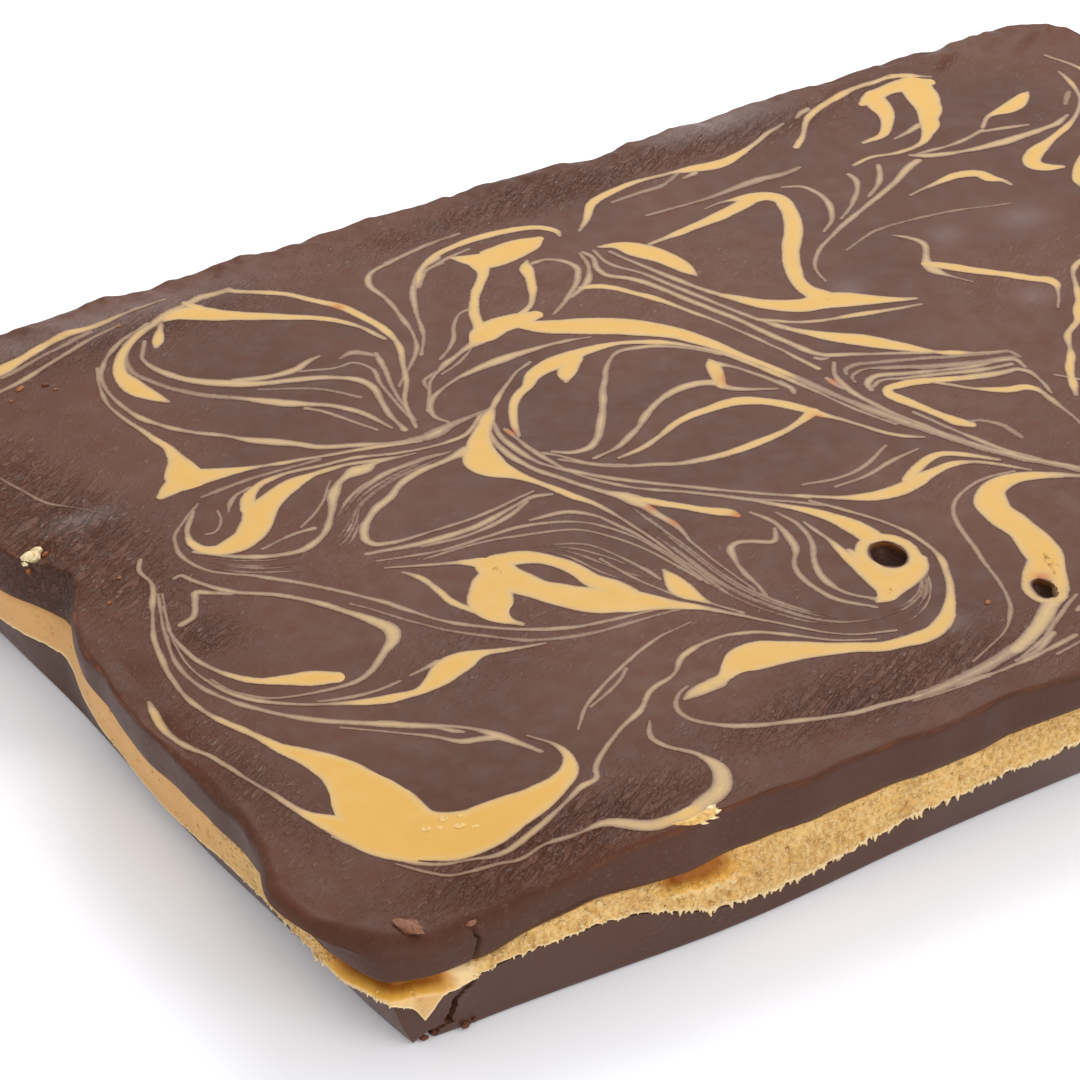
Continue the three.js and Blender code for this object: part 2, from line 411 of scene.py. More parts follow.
@dataclass(frozen=True)
class TrayForm:
    """The form that the tray and the folds of its lining gave the slab, in millimetres.

    Places along the rim run from the near left corner, first along the front.
    """

    length: float = 330.0
    width: float = 225.0
    height: float = 28.4
    base_top: float = 9.0
    filling_top: float = 17.6
    layer_gap: float = 0.3
    corner_radius: float = 16.0
    floor_roundness: float = 0.15
    leans: tuple[float, float, float, float] = (4.0, 6.0, 5.0, 10.5)
    lean_curve: float = 1.7
    fold_fade: float = 0.75
    folds: tuple[Swell, ...] = (
        Swell(-133.5, -13.0, 20.0, 1.5), Swell(-21.5, 5.8, 15.0), Swell(-56.0, -1.4, 9.0),
        Swell(-188.0, -4.0, 14.0, 1.5), Swell(400.0, -3.5, 13.0, 1.5), Swell(495.0, 2.0, 20.0),
        Swell(690.0, -2.5, 15.0, 1.5))
    ripples: tuple[Ripple, ...] = (Ripple(37, 0.4, 0.4), Ripple(83, 0.15, 1.9))
    foot_swells: tuple[Swell, ...] = (Swell(72.0, 2.8, 38.0), Swell(-70.0, 1.7, 34.0))
    waist_swells: tuple[Swell, ...] = (Swell(-24.0, -2.4, 13.0),)
    base_swells: tuple[Swell, ...] = (
        Swell(38.0, 4.8, 23.0, 4.0), Swell(84.0, -4.0, 24.0), Swell(0.0, 2.6, 13.0), Swell(170.0, 2.0, 18.0),
        Swell(-82.0, -3.6, 24.0), Swell(-130.0, 1.0, 12.0), Swell(430.0, 2.0, 50.0), Swell(720.0, -2.0, 60.0))
    filling_swells: tuple[Swell, ...] = (
        Swell(8.0, -1.7, 17.0), Swell(22.0, -1.2, 6.0), Swell(42.0, 1.3, 16.0), Swell(60.0, -0.8, 9.0),
        Swell(165.0, 2.0, 20.0), Swell(-112.0, 2.2, 12.0), Swell(-55.0, 1.4, 9.0), Swell(-38.0, -1.6, 8.0),
        Swell(480.0, -1.2, 45.0))
    rim_waves: tuple[Ripple, ...] = (Ripple(31, 0.3, 2.6), Ripple(67, 0.18, 0.8))
    rim_wave_reach: float = 9.0
    corner_dip: Patch = Patch(-145.0, -110.5, 26.0, 24.0, 3.6)
    far_band_inset: float = 6.0
    far_band_height: float = 0.9
    far_band_span: float = 6.0

    @property
    def perimeter(self) -> float:
        """The rim's length all round."""
        return 2.0 * (self.length + self.width)

    def swell(self, swells: Sequence[Swell], along: Array) -> Array:
        """Adds up swells at places along the rim.

        Args:
            swells: The swells.
            along: Places along the rim.

        Returns:
            How far each place is pushed out.
        """
        total = np.zeros_like(along)
        for each in swells:
            away = np.mod(along - each.at + self.perimeter / 2.0, self.perimeter) - self.perimeter / 2.0
            total += each.depth * np.exp(-(np.abs(away) / each.width) ** each.sharpness)
        return total

    def ripple(self, ripples: Sequence[Ripple], along: Array) -> Array:
        """Adds up waves at places along the rim."""
        turn = 2.0 * math.pi * along / self.perimeter
        return sum(each.depth * np.sin(each.waves * turn + each.phase) for each in ripples)

    def base_edge(self, along: Array) -> Array:
        """Height of the base's upper edge."""
        return self.base_top + self.swell(self.base_swells, along)

    def filling_edge(self, along: Array) -> Array:
        """Height of the filling's upper edge."""
        return self.filling_top + self.swell(self.filling_swells, along)

    def wall(self, along: Array, height: Array | float, proud: Array | float = 0.0) -> Array:
        """Points on the side walls.

        Args:
            along: Places along the rim.
            height: Their heights over the floor.
            proud: How far each stands out from the wall.

        Returns:
            One row of x, y and z for each place.
        """
        along = np.mod(along, self.perimeter)
        height = np.broadcast_to(height, along.shape).astype(float)
        level = np.clip(height / self.height, 0.0, 1.0)
        lean = np.array(self.leans)[:, None] * (1.0 - level) ** self.lean_curve
        front = -self.width / 2.0 + lean[Side.FRONT.value]
        right = self.length / 2.0 - lean[Side.RIGHT.value]
        back = self.width / 2.0 - lean[Side.BACK.value]
        left = -self.length / 2.0 + lean[Side.LEFT.value]
        corners = np.stack([np.stack(pair, axis=1) for pair in
                            ((left, front), (right, front), (right, back), (left, back))])
        spans = np.array([self.length, self.width, self.length, self.width])
        starts = np.concatenate(([0.0], np.cumsum(spans)))
        side = np.clip(np.searchsorted(starts, along, side="right") - 1, 0, 3)
        count = np.arange(len(along))
        begin, end = corners[side, count], corners[(side + 1) % 4, count]
        rest = along - starts[side]
        ahead = (end - begin) / np.linalg.norm(end - begin, axis=1)[:, None]
        out = np.stack([ahead[:, 1], -ahead[:, 0]], axis=1)
        square = begin + (end - begin) * (rest / spans[side])[:, None]
        first_half = (rest < spans[side] / 2.0)[:, None]
        corner = np.where(first_half, begin, end)
        towards = np.where(first_half, -ahead, ahead)
        to_corner = np.minimum(rest, spans[side] - rest)
        angle = (np.clip(1.0 - to_corner / self.corner_radius, 0.0, 1.0) * math.pi / 4.0)[:, None]
        round_out = out * np.cos(angle) + towards * np.sin(angle)
        rounded = corner + self.corner_radius * (round_out - out - towards)
        roundness = (self.floor_roundness + (1.0 - self.floor_roundness) * level)[:, None]
        in_corner = (to_corner < self.corner_radius)[:, None]
        place = np.where(in_corner, square + (rounded - square) * roundness, square)
        push = (self.swell(self.folds, along) + self.ripple(self.ripples, along)) * level ** self.fold_fade
        push += self.swell(self.foot_swells, along) * (1.0 - level) ** self.lean_curve
        push += self.swell(self.waist_swells, along) * 4.0 * level * (1.0 - level)
        place = place + round_out * (push + proud)[:, None]
        return np.column_stack([place, height])

    def top_height(self, place: Array, along: Array, inset: Array | float) -> Array:
        """Height of the top face.

        Args:
            place: Points on the face.
            along: The place along the rim nearest to each.
            inset: How far each is from the rim.

        Returns:
            The height of each point.
        """
        band = self.width / 2.0 - place[:, 1] - self.far_band_inset
        rise = self.far_band_height * np.exp(-(band / self.far_band_span) ** 2)
        waves = self.ripple(self.rim_waves, along) * np.exp(-inset / self.rim_wave_reach)
        return self.height - self.corner_dip.at(place) + rise + waves

    def places(self, pitch: float, dense: tuple[float, float, float] | None = None) -> Array:
        """Places along the rim at an even pitch, closer over one stretch where it is given.

        Args:
            pitch: Distance between places.
            dense: Start, end and pitch of the closer stretch.

        Returns:
            The places, in order.
        """
        even = np.arange(0.0, self.perimeter, self.perimeter / round(self.perimeter / pitch))
        if dense is None:
            return even
        start, end, close = dense
        outside = even[(even < start - close) | (even > end + close)]
        return np.sort(np.concatenate([outside, np.arange(start, end, close)]))


@dataclass(frozen=True)
class Finish:
    """A procedural surface on Object coordinates."""

    name: str

    def paint(self, tree: Tree) -> Values:
        """Draws the finish's nodes and gives what goes into the shader."""
        raise NotImplementedError

    def material(self) -> bpy.types.Material:
        """Makes the material on the first call and hands out the same one after that."""
        made = bpy.data.materials.get(self.name)
        if made is None:
            made = bpy.data.materials.new(self.name)
            made.use_nodes = True
            feed(made.node_tree, made.node_tree.nodes["Principled BSDF"], self.paint(made.node_tree))
        return made

    def dress(self, piece: Piece) -> Piece:
        """Puts the finish on a piece."""
        piece.data.materials.clear()
        piece.data.materials.append(self.material())
        return piece


@dataclass(frozen=True)
class ChocolateFinish(Finish):
    """Tempered milk chocolate, cast and set: satin, faintly cloudy, with a grey bloom in places; painted
    shade darkens its walls, creases and bubble pits, and a painted highlight lightens crests and ticks.
    """

    colour: str = "#5D3626"
    shade_colour: str = "#502E20"
    # Painted shade that darkens the walls, which face away from the light
    painted_wall_shade: str = "#432B23"
    bloom: str = "#8A6C5F"
    pale_speck: str = "#B59C8B"
    oil: str = "#995430"
    amber: str = "#A8672A"
    # Painted shade deep inside a burst bubble
    pit_painted_shade: str = "#2C1A12"
    # Painted shade in the wrinkles' valleys and creases
    painted_valley_shade: str = "#3E261B"
    # Painted highlight on the wrinkles' crests and the ticks
    crest_highlight: str = "#8A6858"
    # Grey of the bloom patches on the top face, and of a painted sheen on the base towards the right
    haze: str = "#9A908F"
    reflection: str = "#F6E6DA"
    cloud: Pattern = (42.0, 4.0, 0.5, 0.6)
    mottle: Pattern = (4.5, 5.0, 0.6, 0.0)
    film: Pattern = (17.0, 6.0, 0.62, 0.0)
    patch: Pattern = (38.0, 2.0, 0.5, 0.0)
    grain: Pattern = (0.8, 2.0, 0.5, 0.0)
    tick: Pattern = (0.85, 3.0, 0.5, 0.5)
    wrinkle: Pattern = (1.5, 3.0, 0.5, 0.8)
    speck_mm: float = 1.6
    break_mm: float = 7.0
    # Ticks and wrinkles lie slantwise: their turn, and how much longer than wide each is
    slant: float = 0.5
    tick_stretch: float = 2.6
    wrinkle_stretch: float = 4.5
    grain_height_mm: float = 0.012
    tick_height_mm: float = 0.36
    wrinkle_height_mm: float = 0.75
    fold_depth_mm: float = 0.22
    fold_width: float = 0.035
    bloom_amount: float = 0.12
    # How much painted shade the creases take
    fold_painted_shade: float = 0.25
    # How strong the painted highlight on crests and ticks is
    crest_highlight_share: float = 0.22
    # How much painted shade the walls take
    wall_shade_share: float = 0.7
    index: float = 1.46
    roughness: tuple[float, float] = (0.42, 0.56)
    tick_roughness: float = 0.36
    tick_gloss: float = 0.28
    # Reflection of a face that set in air, and of a wall that set against the smooth lining
    satin: float = 0.12
    pressed: float = 0.3

    def chocolate(self, tree: Tree) -> tuple[Socket, ...]:
        """Draws the chocolate itself, with its painted shade and painted highlight.

        Args:
            tree: The material's tree.

        Returns:
            Its colour, its roughness, its surface height in millimetres and where ticks stand up.
        """
        place = add_node(tree, COORDINATES, output="Object")
        tick_place, wrinkle_place = (
            add_node(tree, "ShaderNodeMapping", {"vector_type": "TEXTURE"}, {
                "Vector": place, "Rotation": (0.0, 0.0, self.slant), "Scale": (stretch, 1.0, 1.0)})
            for stretch in (self.tick_stretch, self.wrinkle_stretch))
        cloud, mottle, film, patch, grain, tick, wrinkle = (
            add_node(tree, NOISE, None, {
                "Vector": spot, "Scale": per_mm(size), "Detail": detail, "Roughness": rough,
                "Distortion": bend})
            for spot, (size, detail, rough, bend) in (
                (place, self.cloud), (place, self.mottle), (place, self.film), (place, self.patch),
                (place, self.grain), (tick_place, self.tick), (wrinkle_place, self.wrinkle)))
        speck = add_node(tree, "ShaderNodeTexVoronoi", None, {
            "Vector": place, "Scale": per_mm(self.speck_mm)})
        worn, wall, haze = (add_node(tree, ATTRIBUTE, {"attribute_name": name}, output="Fac")
                            for name in ("worn", "wall", "haze"))
        cloudy = add_node(tree, MATH, MULTIPLY_ADD, {0: mottle, 1: 0.5, 2: -0.25})
        cloudy = add_node(tree, MATH, ADD, {0: cloud, 1: cloudy})
        middle = add_node(tree, MATH, SUBTRACT, {0: wrinkle, 1: 0.5})
        middle = add_node(tree, MATH, ABSOLUTE, {0: middle})
        # Each pattern, the value where it begins to show, the one where it is full, and its strength there
        tone, film, patch, tick, crumpled, valley, fold, crest, speck = (
            add_node(tree, MAP_RANGE, SMOOTH, {
                "Value": value, "From Min": start, "From Max": full, "To Max": most})
            for value, start, full, most in (
                (cloudy, 0.30, 0.70, 1.0), (film, 0.52, 0.78, self.bloom_amount), (patch, 0.50, 0.66, 0.22),
                (tick, 0.50, 0.70, 1.0), (worn, 0.25, 0.9, 1.0), (wrinkle, 0.48, 0.34, 0.6),
                (middle, self.fold_width, 0.0, 1.0), (wrinkle, 0.54, 0.68, 1.0), (speck, 0.16, 0.06, 0.3)))
        patch = add_node(tree, MATH, MAXIMUM, {0: patch, 1: worn})
        wall, haze, tick, speck, fold, valley, crest, wrinkle = (
            add_node(tree, MATH, MULTIPLY, {0: shape, 1: share}) for shape, share in (
                (wall, self.wall_shade_share), (haze, mottle), (tick, patch), (speck, patch), (fold, crumpled),
                (valley, crumpled), (crest, crumpled), (wrinkle, crumpled)))
        # Creases and wrinkle valleys take painted shade
        valley = add_node(tree, MATH, MULTIPLY_ADD, {0: fold, 1: self.fold_painted_shade, 2: valley})
        # Crests and ticks take a painted highlight
        crest = add_node(tree, MATH, MAXIMUM, {0: crest, 1: tick})
        crest = add_node(tree, MATH, MULTIPLY, {0: crest, 1: self.crest_highlight_share})
        colour = add_node(tree, MIX, RGBA, {0: tone, 6: linear(self.shade_colour), 7: linear(self.colour)})
        # Over the cloudy tone: bloom, painted shade on the walls and in the valleys, painted highlight on
        # crests and ticks, the haze and painted sheen, and pale specks
        for share, tint in ((film, self.bloom), (wall, self.painted_wall_shade), (valley, self.painted_valley_shade),
                            (crest, self.crest_highlight), (haze, self.haze), (speck, self.pale_speck)):
            colour = add_node(tree, MIX, RGBA, {0: share, 6: colour, 7: linear(tint)})
        height = add_node(tree, MATH, MULTIPLY, {0: grain, 1: self.grain_height_mm})
        for shape, rise in ((tick, self.tick_height_mm), (wrinkle, self.wrinkle_height_mm),
                            (fold, -self.fold_depth_mm)):
            height = add_node(tree, MATH, MULTIPLY_ADD, {0: shape, 1: rise, 2: height})
        rough = add_node(tree, MAP_RANGE, None, {
            "Value": mottle, "From Min": 0.3, "From Max": 0.7, "To Min": self.roughness[0],
            "To Max": self.roughness[1]})
        rough = add_node(tree, MIX, FLOAT, {0: tick, 2: rough, 3: self.tick_roughness})
        return colour, rough, height, tick

    def paint(self, tree: Tree) -> Values:
        """Adds the oily line along a broken rim, the amber and the painted shade deep in the bubbles to the
        chocolate.

        Args:
            tree: The material's tree.

        Returns:
            What goes into the shader.
        """
        colour, rough, height, tick = self.chocolate(tree)
        rim, amber, pit, wall = (add_node(tree, ATTRIBUTE, {"attribute_name": name}, output="Fac")
                                 for name in ("rim", "amber", "pit", "wall"))
        place = add_node(tree, COORDINATES, output="Object")
        broken = add_node(tree, NOISE, None, {"Vector": place, "Scale": per_mm(self.break_mm), "Detail": 5.0})
        broken = add_node(tree, MAP_RANGE, SMOOTH, {
            "Value": broken, "From Min": 0.42, "From Max": 0.66, "To Max": 0.75})
        line = add_node(tree, MATH, MULTIPLY, {0: rim, 1: broken})
        for share, tint in ((line, self.oil), (amber, self.amber), (pit, self.pit_painted_shade)):
            colour = add_node(tree, MIX, RGBA, {0: share, 6: colour, 7: linear(tint)})
        bump = add_node(tree, BUMP, None, {"Height": height, "Distance": MM, "Strength": 1.0})
        gloss = add_node(tree, MAP_RANGE, None, {"Value": wall, "To Min": self.satin, "To Max": self.pressed})
        gloss = add_node(tree, MATH, MULTIPLY_ADD, {0: tick, 1: self.tick_gloss, 2: gloss})
        return {"Base Color": colour, "Roughness": rough, "Normal": bump, "IOR": self.index,
                "Specular IOR Level": gloss, "Specular Tint": linear(self.reflection)}


@dataclass(frozen=True)
class MarbledFinish(ChocolateFinish):
    """Soft nut fudge combed into the chocolate: chocolate at a streak's edge, golden where it lies deep."""

    # Depth inside the streak, in millimetres, where each colour begins and is full, for rich and paled fudge
    layers: tuple[tuple[float, float, str, str], ...] = (
        (0.00, 0.10, "#7A5B47", "#725443"), (0.06, 0.22, "#9A7C5E", "#866A56"),
        (0.18, 0.48, "#C3A26E", "#947A64"), (0.40, 0.90, "#CFA864", "#B19775"),
        (1.00, 2.00, "#D3A450", "#C6AB79"))
    parted_oil: str = "#B4682C"
    # Cell size and detail of the noise that stirs the depth and frays its edge, and how far it goes each way
    stir: tuple[float, ...] = (3.0, 4.0, 0.82, 1.18)
    fray: tuple[float, ...] = (1.1, 3.0, -0.08, 0.08)

    def paint(self, tree: Tree) -> Values:
        """Lays the streak's colours over the chocolate by depth.

        Args:
            tree: The material's tree.

        Returns:
            What goes into the shader.
        """
        colour, rough, height, _ = self.chocolate(tree)
        place = add_node(tree, COORDINATES, output="Object")
        depth, paled, oil = (add_node(tree, ATTRIBUTE, {"attribute_name": name}, output="Fac")
                             for name in ("depth", "paled", "oil"))
        uneven = []
        for size, detail, least, most in (self.stir, self.fray):
            noise = add_node(tree, NOISE, None, {
                "Vector": place, "Scale": per_mm(size), "Detail": detail, "Roughness": 0.6})
            uneven.append(add_node(tree, MAP_RANGE, None, {
                "Value": noise, "From Min": 0.3, "From Max": 0.7, "To Min": least, "To Max": most}))
        depth = add_node(tree, MATH, MULTIPLY_ADD, {0: depth, 1: uneven[0], 2: uneven[1]})
        for start, full, rich, pale in self.layers:
            share = add_node(tree, MAP_RANGE, SMOOTH, {"Value": depth, "From Min": start, "From Max": full})
            layer = add_node(tree, MIX, RGBA, {0: paled, 6: linear(rich), 7: linear(pale)})
            colour = add_node(tree, MIX, RGBA, {0: share, 6: colour, 7: layer})
        colour = add_node(tree, MIX, RGBA, {0: oil, 6: colour, 7: linear(self.parted_oil)})
        calm = add_node(tree, MAP_RANGE, None, {
            "Value": depth, "From Max": 0.5, "To Min": 1.0, "To Max": 0.15})
        height = add_node(tree, MATH, MULTIPLY, {0: height, 1: calm})
        bump = add_node(tree, BUMP, None, {"Height": height, "Distance": MM, "Strength": 1.0})
        return {"Base Color": colour, "Roughness": rough, "Normal": bump, "IOR": self.index,
                "Specular IOR Level": self.satin}


@dataclass(frozen=True)
class NutFinish(Finish):
    """Ground nut fudge, torn at the wall: dull golden crumb, amber in its hollows, partly painted shade, and
    cream at thin edges, partly a painted highlight.
    """

    crumb: str = "#D8AF69"
    crumb_dark: str = "#B48848"
    cream: str = "#EBD3A0"
    golden: str = "#E3A93F"
    # Amber of the hollows and pits: partly the fudge's own, partly painted shade under the top and in the
    # pits
    amber: str = "#A05C08"
    pressed: str = "#D9A263"
    grain_mm: float = 0.9
    patch_mm: float = 7.0
    grain_height_mm: float = 0.11
    index: float = 1.45
    # Light seeps a little way into the fat crumb
    glow: float = 0.12
    glow_colour: Point = (1.0, 0.55, 0.2)
    glow_mm: float = 1.2

    def paint(self, tree: Tree) -> Values:
        """Draws the crumb, the amber hollows with their painted shade and the cream edges with their painted
        highlight.

        Args:
            tree: The material's tree.

        Returns:
            What goes into the shader.
        """
        place = add_node(tree, COORDINATES, output="Object")
        grain = add_node(tree, NOISE, None, {
            "Vector": place, "Scale": per_mm(self.grain_mm), "Detail": 4.0, "Roughness": 0.6})
        patch = add_node(tree, NOISE, None, {"Vector": place, "Scale": per_mm(self.patch_mm), "Detail": 3.0})
        tone = add_node(tree, MATH, MULTIPLY_ADD, {0: patch, 1: 0.6, 2: grain})
        tone = add_node(tree, MAP_RANGE, SMOOTH, {"Value": tone, "From Min": 0.55, "From Max": 0.95})
        torn = add_node(tree, ATTRIBUTE, {"attribute_name": "rough"}, output="Fac")
        torn = add_node(tree, MAP_RANGE, None, {"Value": torn, "From Max": 0.5, "To Min": 0.2, "To Max": 1.0})
        colour = add_node(tree, MIX, RGBA, {0: tone, 6: linear(self.crumb_dark), 7: linear(self.crumb)})
        colour = add_node(tree, MIX, RGBA, {0: torn, 6: linear(self.pressed), 7: colour})
        for name, tint in (("golden", self.golden), ("cream", self.cream), ("amber", self.amber)):
            share = add_node(tree, ATTRIBUTE, {"attribute_name": name}, output="Fac")
            colour = add_node(tree, MIX, RGBA, {0: share, 6: colour, 7: linear(tint)})
        height = add_node(tree, MATH, MULTIPLY, {0: grain, 1: self.grain_height_mm})
        height = add_node(tree, MATH, MULTIPLY, {0: height, 1: torn})
        bump = add_node(tree, BUMP, None, {"Height": height, "Distance": MM, "Strength": 0.8})
        rough = add_node(tree, MAP_RANGE, None, {
            "Value": grain, "From Min": 0.3, "From Max": 0.7, "To Min": 0.55, "To Max": 0.72})
        return {"Base Color": colour, "Roughness": rough, "Normal": bump, "IOR": self.index,
                "Subsurface Weight": self.glow, "Subsurface Radius": self.glow_colour,
                "Subsurface Scale": self.glow_mm * MM}


@dataclass(frozen=True)
class PaperFloorFinish(Finish):
    """White sweep paper, faintly lit from below: matt, with a faint tooth."""

    paper: str = "#FBFBFF"
    paper_shade: str = "#F8F8FD"
    tooth_mm: float = 30.0
    glow: float = 0.1

    def paint(self, tree: Tree) -> Values:
        """Draws the paper's faint tooth.

        Args:
            tree: The material's tree.

        Returns:
            What goes into the shader.
        """
        place = add_node(tree, COORDINATES, output="Object")
        tooth = add_node(tree, NOISE, None, {"Vector": place, "Scale": per_mm(self.tooth_mm)})
        colour = add_node(tree, MIX, RGBA, {0: tooth, 6: linear(self.paper), 7: linear(self.paper_shade)})
        return {"Base Color": colour, "Emission Color": colour, "Emission Strength": self.glow,
                "Roughness": 0.9, "Specular IOR Level": 0.1}


TOP_CHOCOLATE = ChocolateFinish("set_milk_chocolate_top")
BASE_CHOCOLATE = ChocolateFinish("pressed_milk_chocolate_base", bloom="#857078", bloom_amount=0.16,
                                 roughness=(0.34, 0.46), pressed=0.48)
MARBLING = MarbledFinish("nut_fudge_marbling")
NUT_FUDGE = NutFinish("ground_nut_fudge")


def register(piece: Piece, slot: str, *nodes: str) -> Piece:
    """Ties a finished piece to the body and hides the solids that it stands for.

    Args:
        piece: The finished mesh object.
        slot: The record's material slot, which is not used.
        *nodes: The solids that the piece replaces.

    Returns:
        The same piece.
    """
    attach(piece, BODY)
    if nodes:
        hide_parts(*nodes)
    log.info("%s: %d faces", piece.name, len(piece.data.polygons))
    return piece


@dataclass(frozen=True)
class BaseLayer:
    """The chocolate base: smooth pressed walls with painted shade and a painted sheen towards the right, a
    sharp foot and a crack at the near corner.
    """

    form: TrayForm
    pitch: float = 1.0
    wall_rows: int = 22
    foot_radius: float = 0.8
    foot_rows: int = 3
    wall_wave: float = 0.12
    wall_wave_size: float = 14.0
    crack_depth: float = 2.2
    crack_width: float = 1.0
    crack_ragged: float = 0.55
    crack_seed: int = 31
    # Strength of the painted sheen, a greyish tint on the base towards the right
    haze: float = 0.6
    # Places along the rim where the painted sheen comes in, and where it goes out
    painted_sheen_start: tuple[float, float] = (110.0, 230.0)
    painted_sheen_end: tuple[float, float] = (330.0, 400.0)
    # Start, end and pitch of the stretch round the crack
    crack_stretch: Point = (0.0, 26.0, 0.2)
    # The crack's way up the front wall: distance from the left, and height
    crack: tuple[tuple[float, float], ...] = (
        (0.6, -0.5), (5.0, 2.1), (8.6, 3.0), (10.5, 5.5), (13.5, 9.5), (16.5, 10.8), (19.0, 13.0))

    def build(self) -> Piece:
        """Builds the base with its crack.

        Returns:
            The finished piece.
        """
        form = self.form
        along = form.places(self.pitch, self.crack_stretch)
        edge = form.base_edge(along)
        rings = []
        for turn in np.linspace(0.0, math.pi / 2.0, self.foot_rows + 1):
            rise = np.full_like(along, self.foot_radius * (1.0 - math.cos(turn)))
            tuck = self.foot_radius * (math.sin(turn) - 1.0)
            rings.append(form.wall(along, rise, tuck - self.groove(along, rise)))
        for share in np.linspace(0.0, 1.0, self.wall_rows + 1)[1:]:
            height = self.foot_radius + (edge - self.foot_radius) * share
            wave = smooth_noise(along / self.wall_wave_size, height / 6.0, 5) * self.wall_wave
            push = wave * math.sin(share * math.pi) - self.groove(along, height)
            rings.append(form.wall(along, height, push))
        piece = ring_shell("base_layer_chocolate", rings)
        set_attribute(piece, "wall", np.ones(len(piece.data.vertices)))
        torn = np.concatenate([self.groove(along, ring[:, 2]) for ring in rings]) / self.crack_depth
        set_attribute(piece, "rim", np.concatenate([torn, np.zeros(2)]))
        # Painted sheen on the base, full at the right end of the front
        haze = self.haze * ease(along, *self.painted_sheen_start) * (1.0 - ease(along, *self.painted_sheen_end))
        set_attribute(piece, "haze", np.concatenate([np.tile(haze, len(rings)), np.zeros(2)]))
        return register(BASE_CHOCOLATE.dress(piece), "chocolate_base", "base_layer")

    def groove(self, along: Array, height: Array) -> Array:
        """How deep the crack cuts into the wall.

        Args:
            along: Places along the rim.
            height: Their heights over the floor.

        Returns:
            The cut's depth at each place.
        """
        way = np.array(self.crack)
        sway = smooth_noise(height / 0.8, height * 0.0, self.crack_seed)
        middle = np.interp(height, way[:, 1], way[:, 0]) + self.crack_ragged * sway
        half = self.crack_width * (0.55 + 1.5 * np.exp(-(height / 2.4) ** 2))
        flaky = 1.0 + 0.35 * smooth_noise(along / 0.7, height / 0.7, self.crack_seed + 1)
        return self.crack_depth * np.clip(1.2 - np.abs(along - middle) / half, 0.0, 1.0) * flaky


@dataclass(frozen=True)
class Hollow:
    """A stretch where the filling has shrunk back under the top: its place, depth and share of the height."""

    stretch: Swell
    start: float
    full: float


